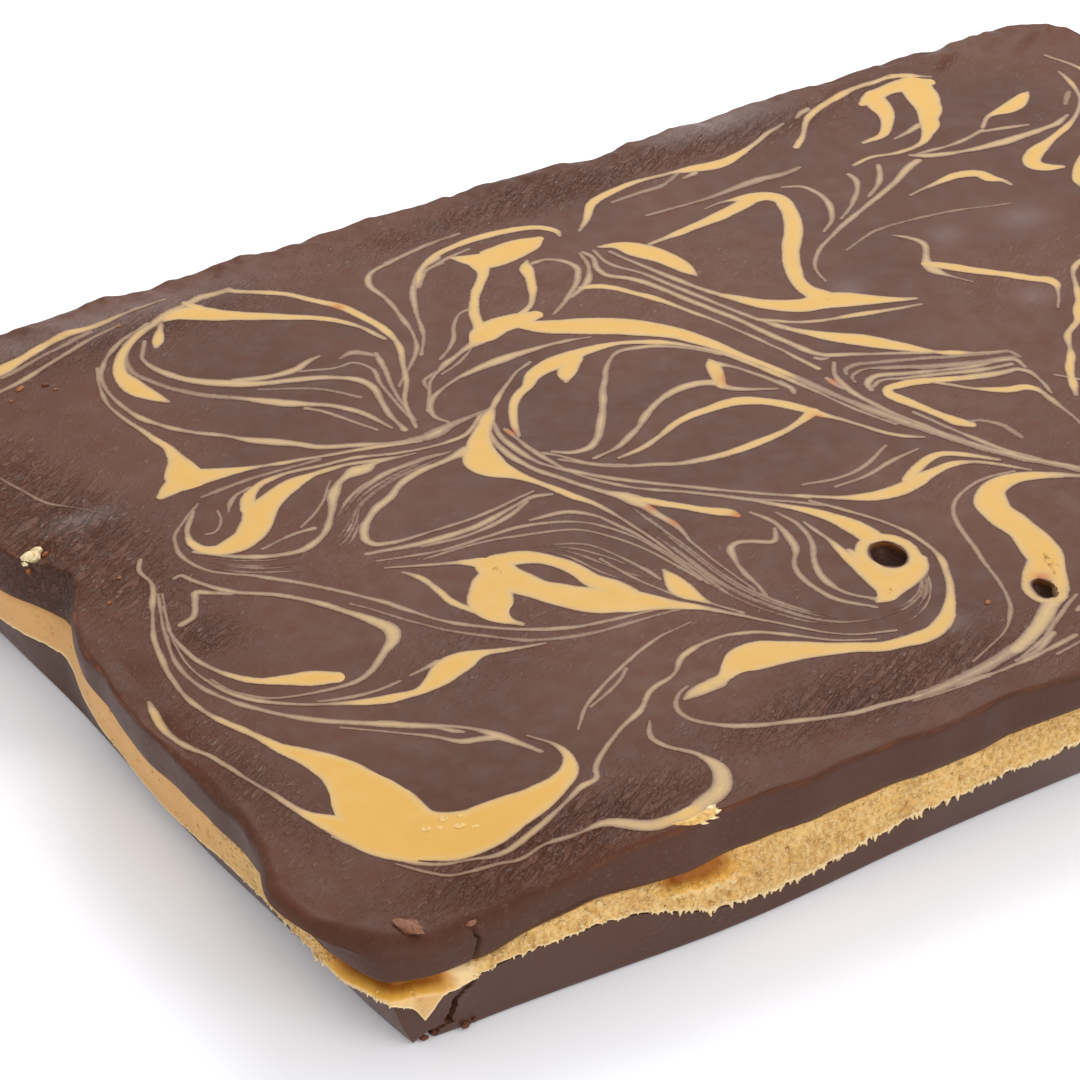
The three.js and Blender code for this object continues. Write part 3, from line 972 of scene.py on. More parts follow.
@dataclass(frozen=True)
class FillingLayer:
    """The nut filling: a torn, grainy wall that hangs over the base in a fringe of fine teeth."""

    form: TrayForm
    pitch: float = 0.55
    front_pitch: float = 0.3
    wall_rows: int = 30
    lip_proud: float = 0.8
    lip_rise: float = 0.7
    lip_ragged: float = 0.6
    lip_share: float = 0.06
    recess: float = 0.9
    grain_depth: float = 0.5
    grain_size: float = 0.75
    pit_depth: float = 1.1
    pit_size: float = 1.5
    hollows: tuple[Hollow, ...] = (
        Hollow(Swell(-3.5, 3.4, 16.5, 8.0), 0.1, 0.5), Hollow(Swell(67.5, 2.8, 8.5, 4.0), 0.46, 0.68))
    smooth_sides: tuple[Swell, ...] = (Swell(-125.0, 0.95, 84.0, 8.0), Swell(0.0, 0.9, 20.0, 8.0))
    film: Swell = Swell(16.6, 1.0, 2.8, 4.0)
    spike_at: float = 5.0
    spike_drop: float = 6.0
    # The spike's steep left side, its root and its long right side
    spike_widths: Point = (0.5, 5.0, 5.6)
    spike_root: float = 0.28
    crumb_radius: tuple[float, float] = (0.16, 0.5)
    crumbs_per_mm2: float = 0.9
    tooth_spacing: float = 0.75
    tooth_length: float = 1.5
    tooth_radius: float = 0.62
    tooth_tip: float = 0.1
    tooth_share: float = 0.9
    tooth_sizes: tuple[float, float] = (0.45, 1.2)
    tooth_splay: float = 0.4
    # Where the teeth are shorter, where they stay long on the smooth corner, and the spike's bare slope
    short_teeth: tuple[Swell, ...] = (Swell(38.0, 0.55, 24.0, 6.0), Swell(-60.0, 0.2, 30.0, 4.0))
    corner_teeth: Swell = Swell(2.0, 0.6, 12.0, 6.0)
    bare_slope: Swell = Swell(7.5, 1.0, 4.0, 4.0)
    # The palest of the crumbs, and the teeth
    crumb_cream: float = 0.55
    tooth_cream: float = 0.8
    seed: int = 20

    def drop(self, along: Array) -> Array:
        """How far the lip hangs below its usual height."""
        half = self.form.perimeter / 2.0
        past = np.mod(along - self.spike_at + half, 2.0 * half) - half
        steep, root, slope = self.spike_widths
        left = ((1.0 - self.spike_root) * np.exp(np.minimum(past, 0.0) / steep)
                + self.spike_root * np.exp(-(past / root) ** 2))
        return self.spike_drop * np.where(past < 0.0, left, np.clip(1.0 - past / slope, 0.0, 1.0))

    def roughness(self, along: Array) -> Array:
        """How grainy the wall is, from smooth at 0 to torn at 1."""
        return np.clip(1.0 - self.form.swell(self.smooth_sides, along), 0.0, 1.0)

    def surface(self, along: Array, share: float) -> tuple[Array, Array, Array, Array]:
        """Points on the torn wall.

        Args:
            along: Places along the rim.
            share: How far up the wall they are, from the lip at 0.

        Returns:
            The points, and how amber, how pale and how golden each is.
        """
        form = self.form
        rough = self.roughness(along)
        ragged = smooth_noise(along / 1.1, along * 0.0, self.seed) * (0.3 + 0.7 * rough)
        ledge = form.base_edge(along) + form.layer_gap + self.lip_rise + self.lip_ragged * ragged
        lip = ledge - self.drop(along)
        height = lip + (form.filling_edge(along) - lip) * share
        sweep = self.lip_proud * max(0.0, 1.0 - 2.0 * share) - self.recess * max(0.0, 2.0 * share - 1.0) ** 2
        level = np.clip((height - ledge) / (form.filling_edge(along) - ledge), 0.0, 1.0)
        sunk, edge, golden = (np.zeros_like(along) for _ in range(3))
        for hollow in self.hollows:
            reach = form.swell((hollow.stretch,), along)
            uneven = (0.07 * smooth_noise(along / 3.0, along * 0.0, self.seed + 1)
                      + 0.02 * smooth_noise(along, along * 0.0, self.seed + 5))
            sunk += reach * ease(level + uneven, hollow.start, hollow.full)
            # Painted highlight along the hollow's lower edge, which stands out into the light
            lip_painted_highlight = np.exp(-((level + uneven - hollow.start + 0.04) / 0.06) ** 2)
            edge = np.maximum(edge, lip_painted_highlight * reach / hollow.stretch.depth)
            near = ease(level + uneven, hollow.start - 0.1, hollow.start + 0.08)
            golden = np.maximum(golden, near * reach / hollow.stretch.depth)
        fine = smooth_noise(along / self.grain_size, height / self.grain_size, self.seed + 2)
        broad = smooth_noise(along / 1.9, height / 1.7, self.seed + 3)
        pits = smooth_noise(along / self.pit_size, height / self.pit_size, self.seed + 4)
        pits = np.clip(pits - 0.4, 0.0, 1.0)
        margin = rough * (1.0 if share < 0.88 else 0.35)
        film = form.swell((self.film,), along)
        push = sweep - sunk + 0.5 * film * math.sin(math.pi * share)
        push += margin * (self.grain_depth * (0.6 * fine + 0.5 * broad) - self.pit_depth * pits)
        # Amber where the filling shrinks back under the top and in the pits: partly the fudge's own
        # translucent amber, partly painted shade
        amber = np.clip(ease(sunk, 0.5, 2.6) + margin * pits * 0.5, 0.0, 1.0)
        # Paler at the lip and the hollow's edge, partly the cream of a thin torn edge and partly painted
        # highlight; paler too where the grain stands out
        pale = 0.85 * math.exp(-(share / self.lip_share) ** 2) + 0.45 * edge + 0.6 * film
        pale = pale + margin * 0.35 * np.clip(fine, 0.0, 1.0)
        points = form.wall(along, height, push)
        return points, amber * (1.0 - film), np.clip(pale, 0.0, 0.95), golden * (1.0 - film)

    def build(self) -> list[Piece]:
        """Builds the filling's wall, its loose crumbs and its fringe.

        Returns:
            The finished pieces.
        """
        form = self.form
        along = form.places(self.pitch, (0.0, form.length, self.front_pitch))
        rings = [form.wall(along, form.base_edge(along) + form.layer_gap, -0.1)]
        tints = {name: [np.zeros_like(along)] for name in ("amber", "cream", "golden")}
        for share in np.linspace(0.0, 1.0, self.wall_rows):
            points, *shares = self.surface(along, share)
            rings.append(points)
            for rows, values in zip(tints.values(), shares):
                rows.append(values)
        piece = ring_shell("filling_layer_nut", rings)
        for name, rows in tints.items():
            set_attribute(piece, name, np.concatenate([*rows, np.zeros(2)]))
        torn = np.concatenate([np.zeros(2), np.ones(self.wall_rows - 2), np.zeros(1)])
        rough = np.outer(torn, self.roughness(along)).ravel() * (1.0 - np.concatenate(tints["amber"]))
        set_attribute(piece, "rough", np.concatenate([rough, np.zeros(2)]))
        crumbs = bpy.data.objects.new("filling_crumbs", piece.data.copy())
        bpy.context.collection.objects.link(crumbs)
        crumbs = run_nodes(crumbs, self.crumb_tree(), {
            "Density": self.crumbs_per_mm2 / MM ** 2, "Smallest": self.crumb_radius[0] * MM,
            "Largest": self.crumb_radius[1] * MM, "Seed": self.seed, "Finish": NUT_FUDGE.material()})
        fringe = run_nodes(self.lip_wire(), self.fringe_tree(), {
            "Spacing": self.tooth_spacing * MM, "Length": self.tooth_length * MM,
            "Radius": self.tooth_radius * MM, "Tip": self.tooth_tip * MM, "Share": self.tooth_share,
            "Shortest": self.tooth_sizes[0], "Longest": self.tooth_sizes[1], "Splay": self.tooth_splay,
            "Seed": self.seed, "Finish": NUT_FUDGE.material()})
        register(NUT_FUDGE.dress(piece), "nut_filling", "filling_layer")
        return [piece, register(crumbs, "nut_filling"), register(fringe, "nut_filling")]

    def lip_wire(self) -> Piece:
        """Makes the wire along the lip that the fringe grows from.

        Returns:
            An object of loose edges with the reach of the teeth at each place.
        """
        form = self.form
        along = form.places(0.5)
        points = self.surface(along, self.lip_share)[0]
        inner = form.wall(along, points[:, 2], 0.35)
        order = np.arange(len(along))
        middle = np.column_stack([(points + inner)[:, :2] / 2.0, points[:, 2]])
        edges = np.stack([order, np.roll(order, -1)], axis=1).tolist()
        wire = new_object("filling_fringe", middle, [], edges)
        reach = np.clip(0.25 + 0.85 * self.roughness(along) - form.swell(self.short_teeth, along), 0.2, 1.0)
        reach = np.maximum(reach, form.swell((self.corner_teeth,), along))
        bare = form.swell((self.film, self.bare_slope), along)
        set_attribute(wire, "reach", reach * np.clip(1.0 - bare, 0.0, 1.0))
        return wire

    def crumb_tree(self) -> Tree:
        """Builds the tree that scatters half-sunk crumbs over the torn wall.

        Returns:
            The Geometry Nodes tree.
        """
        tree, start = new_tree(
            "crumbs_on_the_wall", ("Density", "Smallest", "Largest"), Seed="Int", Finish="Material")
        seed = start["Seed"]
        rough = add_node(tree, NAMED_ATTRIBUTE, FLOAT, {"Name": "rough"})
        often = add_node(tree, MATH, MULTIPLY, {0: rough, 1: start["Density"]})
        spots = add_node(tree, "GeometryNodeDistributePointsOnFaces", {"distribute_method": "RANDOM"}, {
            "Mesh": start["Geometry"], "Density": often, "Seed": seed})
        grain = add_node(tree, "GeometryNodeMeshIcoSphere", None, {"Radius": 1.0, "Subdivisions": 1})
        size = add_node(tree, RANDOM, VECTOR, {
            "Min": start["Smallest"], "Max": start["Largest"], "Seed": seed})
        placed = add_node(tree, INSTANCES, None, {
            "Points": spots, "Instance": grain, "Rotation": spots.node.outputs["Rotation"], "Scale": size})
        pale = add_node(tree, RANDOM, FLOAT, {2: 0.0, 3: self.crumb_cream, "Seed": seed})
        tinted = add_node(tree, STORE, {**FLOAT, "domain": "INSTANCE"}, {
            "Geometry": placed, "Name": "cream", "Value": pale})
        return end_tree(tree, tinted, start["Finish"])

    def fringe_tree(self) -> Tree:
        """Builds the tree that hangs teeth of uneven length along the lip.

        Returns:
            The Geometry Nodes tree.
        """
        tree, start = new_tree("teeth_along_the_lip", (
            "Spacing", "Length", "Radius", "Tip", "Share", "Shortest", "Longest", "Splay"),
            Seed="Int", Finish="Material")
        seed = start["Seed"]
        curve = add_node(tree, MESH_TO_CURVE, None, {"Mesh": start["Geometry"]})
        even = add_node(tree, "GeometryNodeResampleCurve", {"mode": "LENGTH"}, {
            "Curve": curve, "Length": start["Spacing"]})
        spots = add_node(tree, "GeometryNodeCurveToPoints", {"mode": "EVALUATED"}, {"Curve": even})
        kept = add_node(tree, RANDOM, {"data_type": "BOOLEAN"}, {"Probability": start["Share"], "Seed": seed})
        tooth = add_node(tree, "GeometryNodeMeshCone", {"fill_type": "NGON"}, {
            "Vertices": 6, "Side Segments": 2, "Radius Top": start["Tip"], "Radius Bottom": start["Radius"],
            "Depth": start["Length"]})
        spread = add_node(tree, RANDOM, VECTOR, {0: (-1.0, -1.0, -0.4), 1: (1.0, 1.0, 0.4), "Seed": seed})
        hang = add_node(tree, VECTOR_MATH, MULTIPLY_ADD, {0: spread, 1: start["Splay"], 2: (0.0, 0.0, -1.0)})
        turned = add_node(tree, "FunctionNodeAlignRotationToVector", {"axis": "Z"}, {"Vector": hang})
        length = add_node(tree, RANDOM, FLOAT, {2: start["Shortest"], 3: start["Longest"], "Seed": seed})
        reach = add_node(tree, NAMED_ATTRIBUTE, FLOAT, {"Name": "reach"})
        scale = add_node(tree, MATH, MULTIPLY, {0: length, 1: reach})
        placed = add_node(tree, INSTANCES, None, {
            "Points": spots, "Selection": kept, "Instance": tooth, "Rotation": turned, "Scale": scale})
        tinted = add_node(tree, STORE, {**FLOAT, "domain": "INSTANCE"}, {
            "Geometry": placed, "Name": "cream", "Value": self.tooth_cream})
        return end_tree(tree, tinted, start["Finish"])


@dataclass(frozen=True)
class Bubble:
    """A burst bubble in the top face."""

    x: float
    y: float
    width: float
    length: float
    depth: float


@dataclass(frozen=True)
class TopLayer:
    """The chocolate top: fluted walls, a rolled rim, a softly uneven face and two burst bubbles."""

    form: TrayForm
    pitch: float = 0.95
    wall_rows: int = 14
    roll_rows: int = 6
    roll_radius: float = 0.9
    corner_roll: float = 3.2
    corner_roll_reach: float = 50.0
    rim_inset: float = 6.0
    rim_rows: int = 8
    face_rows: int = 48
    recess: float = 0.9
    flute_depth: float = 1.1
    flute_size: float = 13.0
    flute_more: Swell = Swell(255.0, 0.9, 100.0, 6.0)
    crease_at: float = 21.6
    crease_depth: float = 1.0
    crease_width: float = 0.34
    crease_slant: float = 2.2
    # Start, end and pitch of the stretch round the crease
    crease_stretch: Point = (17.0, 27.0, 0.3)
    # How oily the rim is, and where it is more or less so
    oily_rim: float = 0.28
    oily_swells: tuple[Swell, ...] = (Swell(-118.0, 0.9, 30.0, 4.0), Swell(0.0, -0.28, 45.0, 4.0))
    bubble_turn_deg: float = -14.0
    bubble_sunk: float = 1.2
    bubble_sides: int = 40
    bubble_bands: int = 22
    bubbles: tuple[Bubble, ...] = (Bubble(-15.2, -60.6, 6.7, 9.2, 4.2), Bubble(2.5, -87.0, 4.2, 7.0, 3.6))
    # Hollows in the face, and bumps where negative
    dents: tuple[Patch, ...] = (
        Patch(-158.0, -16.0, 2.6, 4.5, 1.0), Patch(-162.0, -35.0, 2.2, 5.0, 0.9),
        Patch(-154.5, 31.5, 3.4, 3.0, 1.9), Patch(-142.3, 41.0, 1.6, 1.6, 0.5),
        Patch(-147.5, 38.0, 1.6, 1.6, 0.5), Patch(-26.7, -63.3, 1.2, 1.2, 0.35),
        Patch(-25.0, -56.5, 1.2, 1.2, 0.3), Patch(-111.0, 107.0, 3.0, 2.5, -0.9),
        Patch(12.0, 107.5, 3.0, 2.5, -0.9), Patch(57.0, 107.5, 3.0, 2.5, -0.8),
        Patch(95.0, 107.5, 3.4, 2.5, -0.8), Patch(126.0, 107.0, 6.0, 2.5, -0.7))

    # Where the face is crinkled and pitted
    worn: tuple[Patch, ...] = (
        Patch(-146.0, 36.0, 17.0, 46.0, 1.0), Patch(-141.0, -12.0, 10.0, 9.0, 0.8),
        Patch(-45.0, -96.0, 40.0, 11.0, 0.8), Patch(-118.0, -102.0, 34.0, 10.0, 1.0),
        Patch(40.0, -105.0, 60.0, 8.0, 0.7), Patch(120.0, -104.0, 50.0, 8.0, 0.6),
        Patch(-100.0, 97.0, 45.0, 11.0, 0.6), Patch(30.0, 101.0, 90.0, 9.0, 0.7),
        Patch(-157.0, -50.0, 7.0, 40.0, 0.6), Patch(-96.0, -45.0, 24.0, 16.0, 0.35),
        Patch(60.0, -60.0, 26.0, 22.0, 0.35))

    # Where a whitish bloom has come out
    hazy: tuple[Patch, ...] = (
        Patch(62.0, 108.0, 16.0, 4.5, 0.75), Patch(-140.0, 37.0, 6.0, 3.0, 0.6),
        Patch(94.0, 34.0, 6.0, 5.0, 0.4), Patch(75.0, 37.0, 4.0, 4.0, 0.4), Patch(74.0, 5.0, 4.0, 4.0, 0.4),
        Patch(42.0, 29.0, 4.0, 4.0, 0.4), Patch(-20.0, -86.0, 4.0, 3.0, 0.4),
        Patch(-100.0, 104.0, 34.0, 5.0, 0.5))

    def flute(self, along: Array, height: Array) -> Array:
        """How far the wall's upright flutes stand out.

        Args:
            along: Places along the rim.
            height: Their heights over the floor.

        Returns:
            The push at each place.
        """
        more = self.form.swell((self.flute_more,), along)
        broad = smooth_noise(along / self.flute_size, height / 40.0, 12)
        fine = smooth_noise(along / (self.flute_size * 0.4), height / 25.0, 13)
        facet = 0.35 - np.abs(smooth_noise(along / (self.flute_size * 0.75), height / 60.0, 14))
        return self.flute_depth * ((1.0 + 0.4 * more) * broad + 0.35 * more * fine + 3.0 * more * facet)

    def crease(self, along: Array, share: float) -> Array:
        """How deep the slanted crease cuts into the wall.

        Args:
            along: Places along the rim.
            share: How far up the wall they are.

        Returns:
            The cut's depth at each place.
        """
        away = along - self.crease_at - (share - 1.0) * self.crease_slant
        return self.crease_depth * np.exp(-(away / self.crease_width) ** 2)

    def relief(self, place: Array) -> Array:
        """Small rises and falls of the top face.

        Args:
            place: Points on the face.

        Returns:
            The height to add at each point.
        """
        x, y = place[:, 0], place[:, 1]
        rise = 0.11 * smooth_noise(x / 31.0, y / 24.0, 7) + 0.05 * smooth_noise(x / 12.0, y / 10.0, 8)
        rough = ease(y, 97.0, 107.0) + ease(-x, 152.0, 164.0) * 0.4
        rise += rough * (0.5 * smooth_noise(x / 5.0, y / 4.0, 9) + 0.3 * smooth_noise(x / 2.2, y / 2.2, 10))
        for dent in self.dents:
            rise -= dent.at(place)
        return rise

    def build(self) -> Piece:
        """Builds the top layer with its bubbles.

        Returns:
            The finished piece.
        """
        form = self.form
        along = form.places(self.pitch, self.crease_stretch)
        bottom = form.filling_edge(along) + form.layer_gap
        radius = self.roll_radius + self.corner_roll * np.exp(
            -(np.minimum(along, form.perimeter - along) / self.corner_roll_reach) ** 2)
        edge = form.wall(along, form.height)
        shoulder = form.top_height(edge, along, 0.0) - radius
        rings = [form.wall(along, bottom, -self.recess)]
        rim, wall = [np.zeros_like(along)], [1.0]
        oily = self.oily_rim + form.swell(self.oily_swells, along)
        for share in np.linspace(0.0, 1.0, self.wall_rows):
            height = bottom + self.recess * 0.5 + (shoulder - bottom - self.recess * 0.5) * share
            lower = -self.recess * 0.5 * max(0.0, 1.0 - share * 6.0)
            push = self.flute(along, height) + lower - self.crease(along, share)
            rings.append(form.wall(along, height, push))
            rim.append(np.zeros_like(along))
            wall.append(1.0)
        proud = self.flute(along, shoulder) - self.crease(along, 1.0)
        for turn in np.linspace(0.0, math.pi / 2.0, self.roll_rows + 1)[1:]:
            inset = radius * (1.0 - math.cos(turn))
            fade = math.cos(turn) ** 2
            place = form.wall(along, form.height, -inset + proud * fade)
            place[:, 2] = form.top_height(place, along, inset) - radius * (1.0 - math.sin(turn))
            place[:, 2] += self.relief(place) * math.sin(turn)
            rings.append(place)
            rim.append(oily * math.exp(-((turn - 0.8) / 0.2) ** 2))
            wall.append(fade)
        for share in np.linspace(0.0, 1.0, self.rim_rows + 1)[1:]:
            inset = radius + (self.rim_inset - radius) * share
            place = form.wall(along, form.height, -inset)
            place[:, 2] = form.top_height(place, along, inset) + self.relief(place)
            rings.append(place)
        inner = rings[-1].copy()
        for share in np.linspace(1.0, 0.0, self.face_rows + 1)[1:-1]:
            place = inner * np.array([share, share, 1.0])
            inset = self.rim_inset + (1.0 - share) * form.width / 2.0
            place[:, 2] = form.top_height(place, along, inset) + self.relief(place)
            rings.append(place)
        piece = ring_shell("top_layer_chocolate", rings)
        for name, shares in (("rim", np.concatenate(rim)), ("wall", np.repeat(wall, len(along)))):
            spread = np.zeros(len(rings) * len(along) + 2)
            spread[:len(shares)] = shares
            set_attribute(piece, name, spread)
        points = tray_points(piece)
        for name, patches in (("worn", self.worn), ("haze", self.hazy)):
            set_attribute(piece, name, np.max([each.at(points) for each in patches], axis=0))
        for bubble in self.bubbles:
            carve(piece, self.bubble_cutter(bubble))
        shade(piece)
        self.tint_bubbles(piece)
        return register(TOP_CHOCOLATE.dress(piece), "chocolate_top", "top_layer")

    def bubble_cutter(self, bubble: Bubble) -> Piece:
        """Makes the uneven egg shape that a bubble takes out of the face.

        Args:
            bubble: The bubble.

        Returns:
            A closed egg, sunk below the face.
        """
        below = bubble.depth - self.bubble_sunk
        opening = 2.0 * math.sqrt(1.0 - (self.bubble_sunk / below) ** 2)
        turns = np.linspace(0.0, 2.0 * math.pi, self.bubble_sides, endpoint=False)
        tilt = math.radians(self.bubble_turn_deg)
        points = []
        for lift in np.linspace(-math.pi / 2.0, math.pi / 2.0, self.bubble_bands + 1)[1:-1]:
            uneven = 1.0 + 0.03 * np.sin(3.0 * turns + bubble.x) + 0.02 * np.sin(5.0 * turns + bubble.y)
            across = bubble.width / opening * math.cos(lift) * np.cos(turns) * uneven
            ahead = bubble.length / opening * math.cos(lift) * np.sin(turns) * uneven
            points.append(np.column_stack([
                bubble.x + across * math.cos(tilt) - ahead * math.sin(tilt),
                bubble.y + across * math.sin(tilt) + ahead * math.cos(tilt),
                np.full(len(turns), self.form.height - self.bubble_sunk + below * math.sin(lift))]))
        return ring_shell("bubble_cutter", points)

    def tint_bubbles(self, piece: Piece) -> None:
        """Paints shade deep inside the bubbles as a dark colour, and marks their far walls, where nut fudge
        shows through as amber.

        Args:
            piece: The top layer's piece.
        """
        points = tray_points(piece)
        amber, pit = np.zeros(len(points)), np.zeros(len(points))
        for bubble in self.bubbles:
            x, y = points[:, 0] - bubble.x, points[:, 1] - bubble.y
            inside = np.hypot(x / bubble.width, y / bubble.length) < 0.75
            inside &= points[:, 2] < self.form.height - 0.25
            wall = np.clip((x * 0.3 + y * 0.95) / bubble.width * 2.2, 0.0, 1.0)
            shallow = ease(points[:, 2], self.form.height - 1.5, self.form.height - 0.4)
            amber = np.maximum(amber, inside * wall * shallow * 0.9)
            # Painted shade deep inside the bubble
            pit = np.maximum(pit, inside * 0.1 * (1.0 - shallow))
        set_attribute(piece, "amber", amber)
        set_attribute(piece, "pit", pit)


class Tone(Enum):
    """How rich a streak is in nut fudge, and how far milk chocolate has paled it."""

    GOLD = (1.0, 0.0)
    PALE = (0.85, 0.75)
    DULL = (0.45, 1.0)


@dataclass(frozen=True)
class Streak:
    """One combed streak: its tone and the places and full widths along it, in tray millimetres."""

    tone: Tone
    points: tuple[Point, ...]


@dataclass(frozen=True)
class Fan:
    """Fine threads spread evenly between two guides."""

    threads: int
    width: float
    guide: tuple[tuple[float, float], ...]
    other: tuple[tuple[float, float], ...]


GOLD, PALE, DULL = Tone.GOLD, Tone.PALE, Tone.DULL

